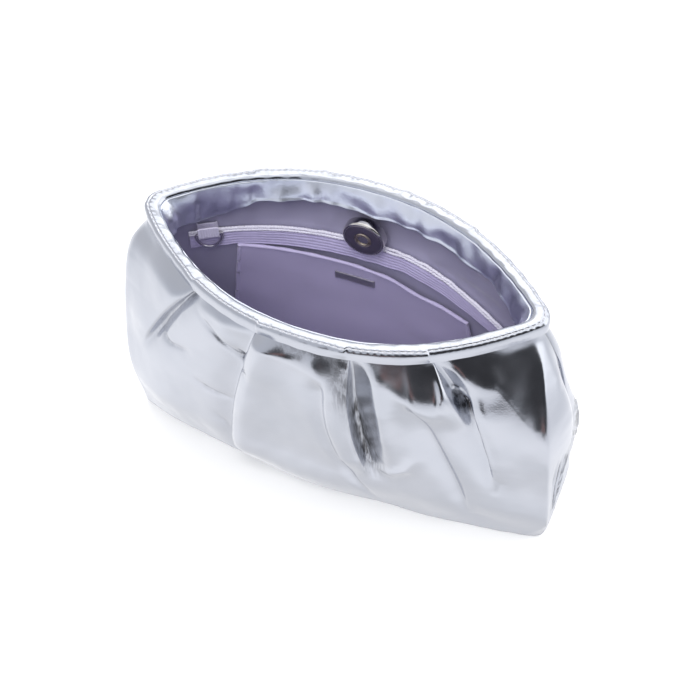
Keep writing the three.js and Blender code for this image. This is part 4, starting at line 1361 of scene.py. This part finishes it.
# %% Form of the pocket
POCKET_LEFT, POCKET_RIGHT = -0.62, 0.48
POCKET_RUN = 110  # about half the wall's length there, in millimetres
POCKET_FOOT, POCKET_TOP, POCKET_SAG, POCKET_DROP = 32 * MM, 97.5 * MM, 2 * MM, 13 * MM
POCKET_THICKNESS = 1 * MM


def on_back(share, z, inward):
    """A point on the back wall of the lining, inward from its inner face."""
    return lining_points(BACK, share, z, LINING_THICKNESS + inward)


def pocket_place(share):
    """From 0 at the pocket's left side to 1 at its right one."""
    return np.clip((share - POCKET_LEFT) / (POCKET_RIGHT - POCKET_LEFT), 0, 1)


def pocket_open(share, level):
    """How far the pocket gapes, most at its upper edge."""
    return POCKET_SAG * np.sin(np.pi * pocket_place(share)) * level**3


def pocket_top(share):
    t = pocket_place(share)
    waved = 0.7 * MM * ripple(share * POCKET_RUN * MM, 0 * t, 53, 26 * MM) * smoothstep(t, 0.4, 0.7)
    sagged = POCKET_TOP - POCKET_SAG * np.sin(np.pi * t)
    return sagged - POCKET_DROP * smoothstep(t, 0.5, 1.02) + waved


def pocket_inward(share, level):
    soft = ripple(share * POCKET_RUN * MM, level * 60 * MM, 51, 30 * MM) * 0.35 * MM
    flat = LEDGE + POCKET_THICKNESS + pocket_open(share, level) + 1.6 * MM
    return flat + soft * level * (1 - level) * 4


tops = [round(float(pocket_top(share)) / MM, 1) for share in (POCKET_LEFT, 0, POCKET_RIGHT)]
print("the pocket's edge, left, middle and right:", tops, "mm high")

# %% [markdown]
# ## Tubes
# The binding and the two cords are round and follow a path. A curve with a bevel would do, but
# its thickness couldn't change round it, and a cord is thicker where a strand comes to the
# front. So rings of points are set square to the path.

# %% Tubes
def tube(name, path, radius, corners):
    """A tube along a path of points, with a radius that may change along it and round it."""
    path = np.asarray(path)
    way = np.gradient(path, axis=0)
    way /= np.linalg.norm(way, axis=1, keepdims=True)
    over = np.cross(way, (0, 0, 1))
    size = np.linalg.norm(over, axis=1, keepdims=True)
    over = np.where(size > 0.2, over / np.maximum(size, 1e-9), (0, 1, 0))
    lift = np.cross(over, way)
    turn = steps(0, 2 * np.pi, corners + 1)[:-1][None, :]
    radius = np.broadcast_to(radius, (len(path), corners))
    ring = over[:, None] * np.cos(turn)[..., None] + lift[:, None] * np.sin(turn)[..., None]
    points = path[:, None] + radius[..., None] * ring
    faces = grid_faces(len(path), corners, wrap=True).tolist()
    last = (len(path) - 1) * corners
    caps = [list(range(corners))[::-1], [last + i for i in range(corners)]]
    return mesh_object(name, points, faces + caps)


print("a tube of 8 corners along 5 points has", len(grid_faces(5, 8, wrap=True)), "sides and 2 ends")

# %% Pocket
def pocket():
    share = steps(POCKET_LEFT, POCKET_RIGHT, 140)[None, :]
    level = steps(0, 1, 70)[:, None]
    z = mix(POCKET_FOOT, pocket_top(share), level)
    points = on_back(share, z, pocket_inward(share, level))
    return thicken(grid_object("pocket_satin", points), 0.6 * MM)


def pocket_binding():
    side = steps(0.06, 1, 50)
    top = steps(POCKET_LEFT, POCKET_RIGHT, 160)[1:-1]
    ends = [np.full(len(side), end) for end in (POCKET_LEFT, POCKET_RIGHT)]
    share = np.concatenate([ends[0], top, ends[1]])
    level = np.concatenate([side, np.ones(len(top)), side[::-1]])
    z = mix(POCKET_FOOT, pocket_top(share), level)
    path = on_back(share, z, pocket_inward(share, level) - 0.3 * MM)
    wave = ripple(steps(0, 200 * MM, len(path)), 0, 52, 12 * MM)
    return tube("pocket_binding", path, (0.9 * MM + 0.12 * MM * wave)[:, None], corners=12)


patch = dress(pocket(), POCKET_SATIN, "lilac_satin", "slip_pocket")
binding = dress(pocket_binding(), POCKET_SATIN, "lilac_satin")

# %% [markdown]
# ## Ribbon and cords
# A ribbed ribbon covers the seam where the pocket's backing meets the upper lining. Its ribs
# run along it, and two light cords lie side by side on its upper edge, pulled into waves by
# the stitches. Ribs in a bump alone would vanish at a low angle, so they are in the mesh.

# %% Finish: ribbon and cords
def ribbon_finish(name, low, high, roughness):
    finish, shader = new_finish(name, high, roughness)
    shader.inputs["Sheen Weight"].default_value = 0.3
    tint(finish, shader, noise(finish, 300, 2), low, high)
    bumps(finish, shader, (noise(finish, 3000, 2), 0.00003))
    return finish


RIBBON = ribbon_finish("lilac_ribbon", (0.44, 0.39, 0.62), (0.56, 0.51, 0.74), 0.42)
CORD = ribbon_finish("light_cord", (0.78, 0.75, 0.90), (0.92, 0.90, 0.98), 0.4)
TAB = satin("tab_satin", (0.62, 0.58, 0.76), (0.72, 0.69, 0.84), 0.32, 0.4)
print("finishes:", RIBBON.name, CORD.name, TAB.name)

# %% Ribbon and cords
RIBBON_LEFT, RIBBON_RIGHT = -0.85, 0.88
RIBBON_RUN = 105  # about half the wall's length there, in millimetres
RIBBON_LEVEL, RIBBON_DROP, RIBBON_HEIGHT = 106 * MM, 12 * MM, 8 * MM
CORD_DIAMETER, CORD_TWIST, RIBS = 1.2 * MM, 1.6 * MM, 5


def ribbon_top(share):
    return RIBBON_LEVEL - RIBBON_DROP * smoothstep(share, 0.1, 0.9)


def ribbon():
    share = steps(RIBBON_LEFT, RIBBON_RIGHT, 320)[None, :]
    down = steps(1, 0, RIBS * 12 + 1)[:, None]
    run = share * RIBBON_RUN * MM
    wave = ripple(run, 0 * down, 61, 14 * MM) * 0.35 * MM
    z = ribbon_top(share) - RIBBON_HEIGHT * down + wave * down
    rib = 0.36 * MM * np.abs(np.cos(np.pi * RIBS * down)) ** 0.7
    ripples = ripple(run, down * 6 * MM, 62, 12 * MM) * 0.25 * MM
    inward = LEDGE + 1.8 * MM + rib + ripples
    return thicken(grid_object("ribbon_ribbed", on_back(share, z, inward)), 0.5 * MM)


def cord(name, rows, seed):
    share = steps(RIBBON_LEFT, RIBBON_RIGHT, 700)
    run = share * RIBBON_RUN * MM
    above = LEDGE + CORD_DIAMETER / 2 + rows * (CORD_DIAMETER + LEDGE)
    wave = ripple(run, 0, seed, 9 * MM) * 0.28 * MM * smoothstep(share, -0.7, 0.1) + 0.05 * MM
    path = on_back(share, ribbon_top(share) + above + wave, LEDGE + 1.9 * MM)
    turn = steps(0, 2 * np.pi, 13)[:-1][None, :]
    strands = 1 + 0.16 * np.cos(2 * turn - (run / CORD_TWIST * 2 * np.pi)[:, None])
    return tube(name, path, CORD_DIAMETER / 2 * 1.12 * strands, corners=12)


dress(ribbon(), RIBBON, "lilac_ribbon", "pocket_ribbon")
dress(cord("cord_lower", 0, 63), CORD, "light_cord", "ribbon_cord_lower")
dress(cord("cord_upper", 1, 64), CORD, "light_cord", "ribbon_cord_upper")

# %% [markdown]
# ## The magnetic snap
# One half of the snap is a thick button with a bright side, a dull violet-grey face and a
# rimmed hole for the stud. It is turned work, so its profile is spun round an axis. The stud
# on the front wall is the same kind of piece, only thinner. Metal that is handled is never
# evenly bright, so each of its finishes has a roughness that wanders a little.

# %% Finish: snap metals
def metal(name, colour, roughness, wander=0.05):
    finish, shader = new_finish(name, colour, roughness, 1.0)
    vary(finish, shader, "Roughness", noise(finish, 700, 3), roughness - wander, roughness + wander)
    bumps(finish, shader, (noise(finish, 900, 2), 0.000008))
    return finish


CHROME = metal("snap_chrome", (0.62, 0.60, 0.58), 0.12, 0.04)
FACE_METAL = metal("snap_face", (0.30, 0.27, 0.32), 0.4, 0.06)
GOLD = metal("snap_rim_gold", (0.52, 0.45, 0.36), 0.3)
HOLE = metal("snap_hole_dark", (0.05, 0.045, 0.05), 0.5)
print("finishes:", ", ".join(finish.name for finish in (CHROME, FACE_METAL, GOLD, HOLE)))

# %% [markdown]
# ## Turned pieces
# A profile is a list of radius and height pairs, from the foot to the face. Spinning it gives
# sharp rings where two pieces of it meet, and turned work has none, so each corner is first
# replaced by a short curve.

# %% Turned pieces
def spun(name, profile, foot, way, count=64):
    """Spins a profile of (radius, height) round the way that points from the foot."""
    way = Vector(way).normalized()
    turn = way.to_track_quat("Z", "X").to_matrix()
    angle = steps(0, 2 * np.pi, count + 1)[:-1]
    radius, height = np.array(profile).T
    radius, height = radius[:, None], height[:, None]
    ring = np.stack([radius * np.cos(angle), radius * np.sin(angle), height + 0 * angle], -1)
    points = ring @ np.array(turn).T + np.array(foot)
    faces = grid_faces(len(profile), count, wrap=True).tolist()
    caps = [list(range(count))[::-1], [(len(profile) - 1) * count + i for i in range(count)]]
    return mesh_object(name, points, faces + caps)


def rounded(profile, radius=0.3 * MM, pieces=4):
    """Rounds each inner corner of a profile by a short curve."""
    profile = np.array(profile, float)
    points = [profile[0]]
    for before, corner, after in zip(profile, profile[1:], profile[2:]):
        a, b = before - corner, after - corner
        reach = min(radius, 0.45 * np.linalg.norm(a), 0.45 * np.linalg.norm(b))
        start, end = corner + a / np.linalg.norm(a) * reach, corner + b / np.linalg.norm(b) * reach
        for t in steps(0, 1, pieces):
            points.append((1 - t) ** 2 * start + 2 * t * (1 - t) * corner + t * t * end)
    return [*points, profile[-1]]


print("a square corner of 3 points becomes", len(rounded([(1, 0), (1, 1), (0, 1)])), "points")

# %% Snap
def snap_frame(node, inwards):
    """The foot, radius and thickness of a snap half. Its foot is the face away from inwards."""
    low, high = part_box(node)
    middle = (low + high) / 2
    foot = (middle.x, high.y if inwards < 0 else low.y, middle.z)
    return foot, (high.x - low.x) / 2, high.y - low.y


def snap_socket():
    foot, radius, thick = snap_frame("snap_socket", -1)
    thick = thick - 0.4 * MM
    side = [(radius * 0.8, 0), (radius * 0.8, 0.8 * MM), (radius - 0.3 * MM, 1.0 * MM),
            (radius, 1.5 * MM), (radius, thick - 0.9 * MM), (radius - 0.5 * MM, thick - 0.15 * MM),
            (radius - 1.4 * MM, thick - 0.3 * MM)]
    face = [(radius - 1.2 * MM, thick - 0.5 * MM), (radius - 1.3 * MM, thick - 0.05 * MM),
            (4.2 * MM, thick), (3.9 * MM, thick - 0.4 * MM)]
    rim = [(4.1 * MM, thick - 0.4 * MM), (3.9 * MM, thick + 0.15 * MM),
           (3.2 * MM, thick + 0.38 * MM), (2.5 * MM, thick + 0.1 * MM),
           (2.3 * MM, thick - 1.2 * MM), (2.1 * MM, 2 * MM), (0.2 * MM, 2 * MM)]
    hole = [(2.2 * MM, 2.4 * MM), (1.2 * MM, 2.2 * MM), (0.2 * MM, 2.1 * MM)]
    parts = [
        ("snap_body", rounded(side), CHROME),
        ("snap_face_disc", rounded(face, 0.2 * MM), FACE_METAL),
        ("snap_rim", rounded(rim), GOLD),
        ("snap_hole", hole, HOLE),
    ]
    return [(spun(name, profile, foot, (0, -1, 0)), finish) for name, profile, finish in parts]


def snap_post():
    foot, radius, thick = snap_frame("snap_post", 1)
    shape = [(radius, 0), (radius, 0.9 * MM), (radius - 1 * MM, thick - 1 * MM),
             (2.6 * MM, thick - 1 * MM), (2.2 * MM, thick - 0.7 * MM), (1.9 * MM, thick),
             (0.2 * MM, thick)]
    return spun("snap_stud", rounded(shape), foot, (0, 1, 0))


for number, (piece, finish) in enumerate(snap_socket()):
    dress(piece, finish, "snap_metal", *(["snap_socket"] if number == 0 else []))
dress(snap_post(), CHROME, "snap_metal", "snap_post")

# %% [markdown]
# ## The ring
# At the left a bent wire ring hangs in a short loop of ribbon, ready for a strap. It has a
# straight side in the loop and a bow below. The wire's middle line is a half circle closed by a
# straight line, smoothed where they meet, and a small circle is swept along it.

# %% Ring
RING_SHARE, RING_LEVEL = -0.755, 108 * MM
RING_WIDTH, RING_DROP, RING_WIRE = 13.5 * MM, 8.5 * MM, 1.4 * MM
TAB_WIDTH, TAB_HEIGHT, TAB_THICKNESS = 9.2 * MM, 5.5 * MM, 1 * MM


def ring_frame():
    """The ways along and inward at the ring's place, and the place itself."""
    inward = 2 * LEDGE + CORD_DIAMETER
    ends = on_back(np.array([RING_SHARE - 0.05, RING_SHARE + 0.05]), np.full(2, RING_LEVEL), inward)
    along = (ends[1] - ends[0]) * (1, 1, 0)
    along /= np.linalg.norm(along)
    inwards = np.array([along[1], -along[0], 0])
    return along, inwards, ends.mean(axis=0)


def ring():
    along, inwards, middle = ring_frame()
    radius = RING_WIRE / 2
    centre = middle + inwards * (TAB_THICKNESS + LEDGE + radius)
    half = RING_WIDTH / 2 - radius
    bow = steps(0, np.pi, 49)
    x = np.concatenate([half * np.cos(bow), steps(-half * 0.94, half * 0.94, 17)])
    z = np.concatenate([-RING_DROP * np.sin(bow), np.zeros(17)])
    smooth = np.ones(5) / 5
    x, z = (np.convolve(np.concatenate([v[-2:], v, v[:2]]), smooth, "valid") for v in (x, z))
    run_x, run_z = (np.roll(v, -1) - np.roll(v, 1) for v in (x, z))
    size = np.hypot(run_x, run_z)
    turn = steps(0, 2 * np.pi, 17)[:-1]
    side = radius * np.cos(turn)
    points = centre + along * (x[:, None] + (run_z / size)[:, None] * side)[..., None]
    points = points + inwards * (radius * np.sin(turn))[None, :, None]
    points[..., 2] += z[:, None] - (run_x / size)[:, None] * side
    points = np.concatenate([points, points[:1]])
    return grid_object("strap_ring", points, wrap=True, flip=True)


RING_METAL = metal("ring_metal", (0.62, 0.60, 0.64), 0.18)
dress(ring(), RING_METAL, "snap_metal", "d_ring")

# %% [markdown]
# ## The tab
# The loop is a piece of ribbon laid round the straight side of the ring, with both ends sewn
# to the lining. It is a grid bent like a hairpin, with woven ribs and thicker edges added square
# to its face.

# %% Tab
def tab():
    along, inwards, middle = ring_frame()
    reach = TAB_THICKNESS + LEDGE + RING_WIRE / 2
    hole = RING_WIRE / 2 + LEDGE + TAB_THICKNESS * 0.5
    bend = steps(0, np.pi, 33)
    down = steps(TAB_HEIGHT, 0.2 * MM, 12)
    upward = steps(0.2 * MM, TAB_HEIGHT, 12)
    before, after = np.full(12, reach + hole), np.full(12, reach - hole)
    out = np.concatenate([before, reach + hole * np.cos(bend), after])
    up = np.concatenate([down, -hole * np.sin(bend), upward])
    across = steps(-0.5, 0.5, 41)
    edge = 0.12 * MM * np.abs(np.sin(np.pi * across * 8)) + 0.25 * MM * (np.abs(across) > 0.46)
    points = middle + inwards * (out[:, None] + 0 * across)[..., None]
    points = points + along * (TAB_WIDTH * across)[None, :, None]
    points[..., 2] += up[:, None]
    outward = np.stack([np.gradient(up), -np.gradient(out)], axis=-1)
    outward /= np.linalg.norm(outward, axis=1, keepdims=True)
    points = points - inwards * (outward[:, :1] * edge)[..., None]
    points[..., 2] -= outward[:, 1:] * edge
    return thicken(grid_object("ring_tab_ribbon", points), 0.7 * MM, side=0)


dress(tab(), TAB, "lilac_ribbon", "ring_tab")

# %% [markdown]
# ## The plate
# On the pocket sits a small metal plate. On the real bag such a plate is pressed and pinned
# through the satin. Here it is left bare, with a brushed face and rounded edges, and it follows
# the pocket, because a stiff flat plate would cut into the soft folds.

# %% Plate
PLATE_METAL = metal("plate_metal", (0.62, 0.60, 0.62), 0.42, 0.08)
PLATE_SHARE, PLATE_LEVEL, PLATE_LENGTH, PLATE_HEIGHT = -0.07, 86 * MM, 22 * MM, 5 * MM


def plate():
    half = PLATE_LENGTH / 2 / half_length(BACK, PLATE_LEVEL)
    share = steps(PLATE_SHARE - half, PLATE_SHARE + half, 45)[None, :]
    up = steps(-0.5, 0.5, 13)[:, None]
    z = PLATE_LEVEL + up * PLATE_HEIGHT
    level = (z - POCKET_FOOT) / (pocket_top(share) - POCKET_FOOT)
    across = (share - PLATE_SHARE) / half
    edge = np.maximum(np.abs(across) ** 24, np.abs(2 * up) ** 8)
    inward = pocket_inward(share, level) + 0.9 * MM - 0.35 * MM * edge
    piece = thicken(grid_object("bare_plate", on_back(share, z, inward)), 0.8 * MM)
    bevel = piece.modifiers.new("soft_edge", "BEVEL")
    bevel.width = 0.15 * MM
    bevel.segments = 2
    bevel.limit_method = "ANGLE"
    return piece


dress(plate(), PLATE_METAL, "plate_metal", "blank_plate")

# %% [markdown]
# ## Size
# The fine model is meant to fill the same box as the plain solids. Its box is printed here, and
# the box of the solids was printed at the start.

# %% Sizes and finish
visual_low, visual_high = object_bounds()
for word, corner in (("from", visual_low), ("to", visual_high)):
    print("visual box", word, [round(v / MM, 1) for v in corner], "mm")
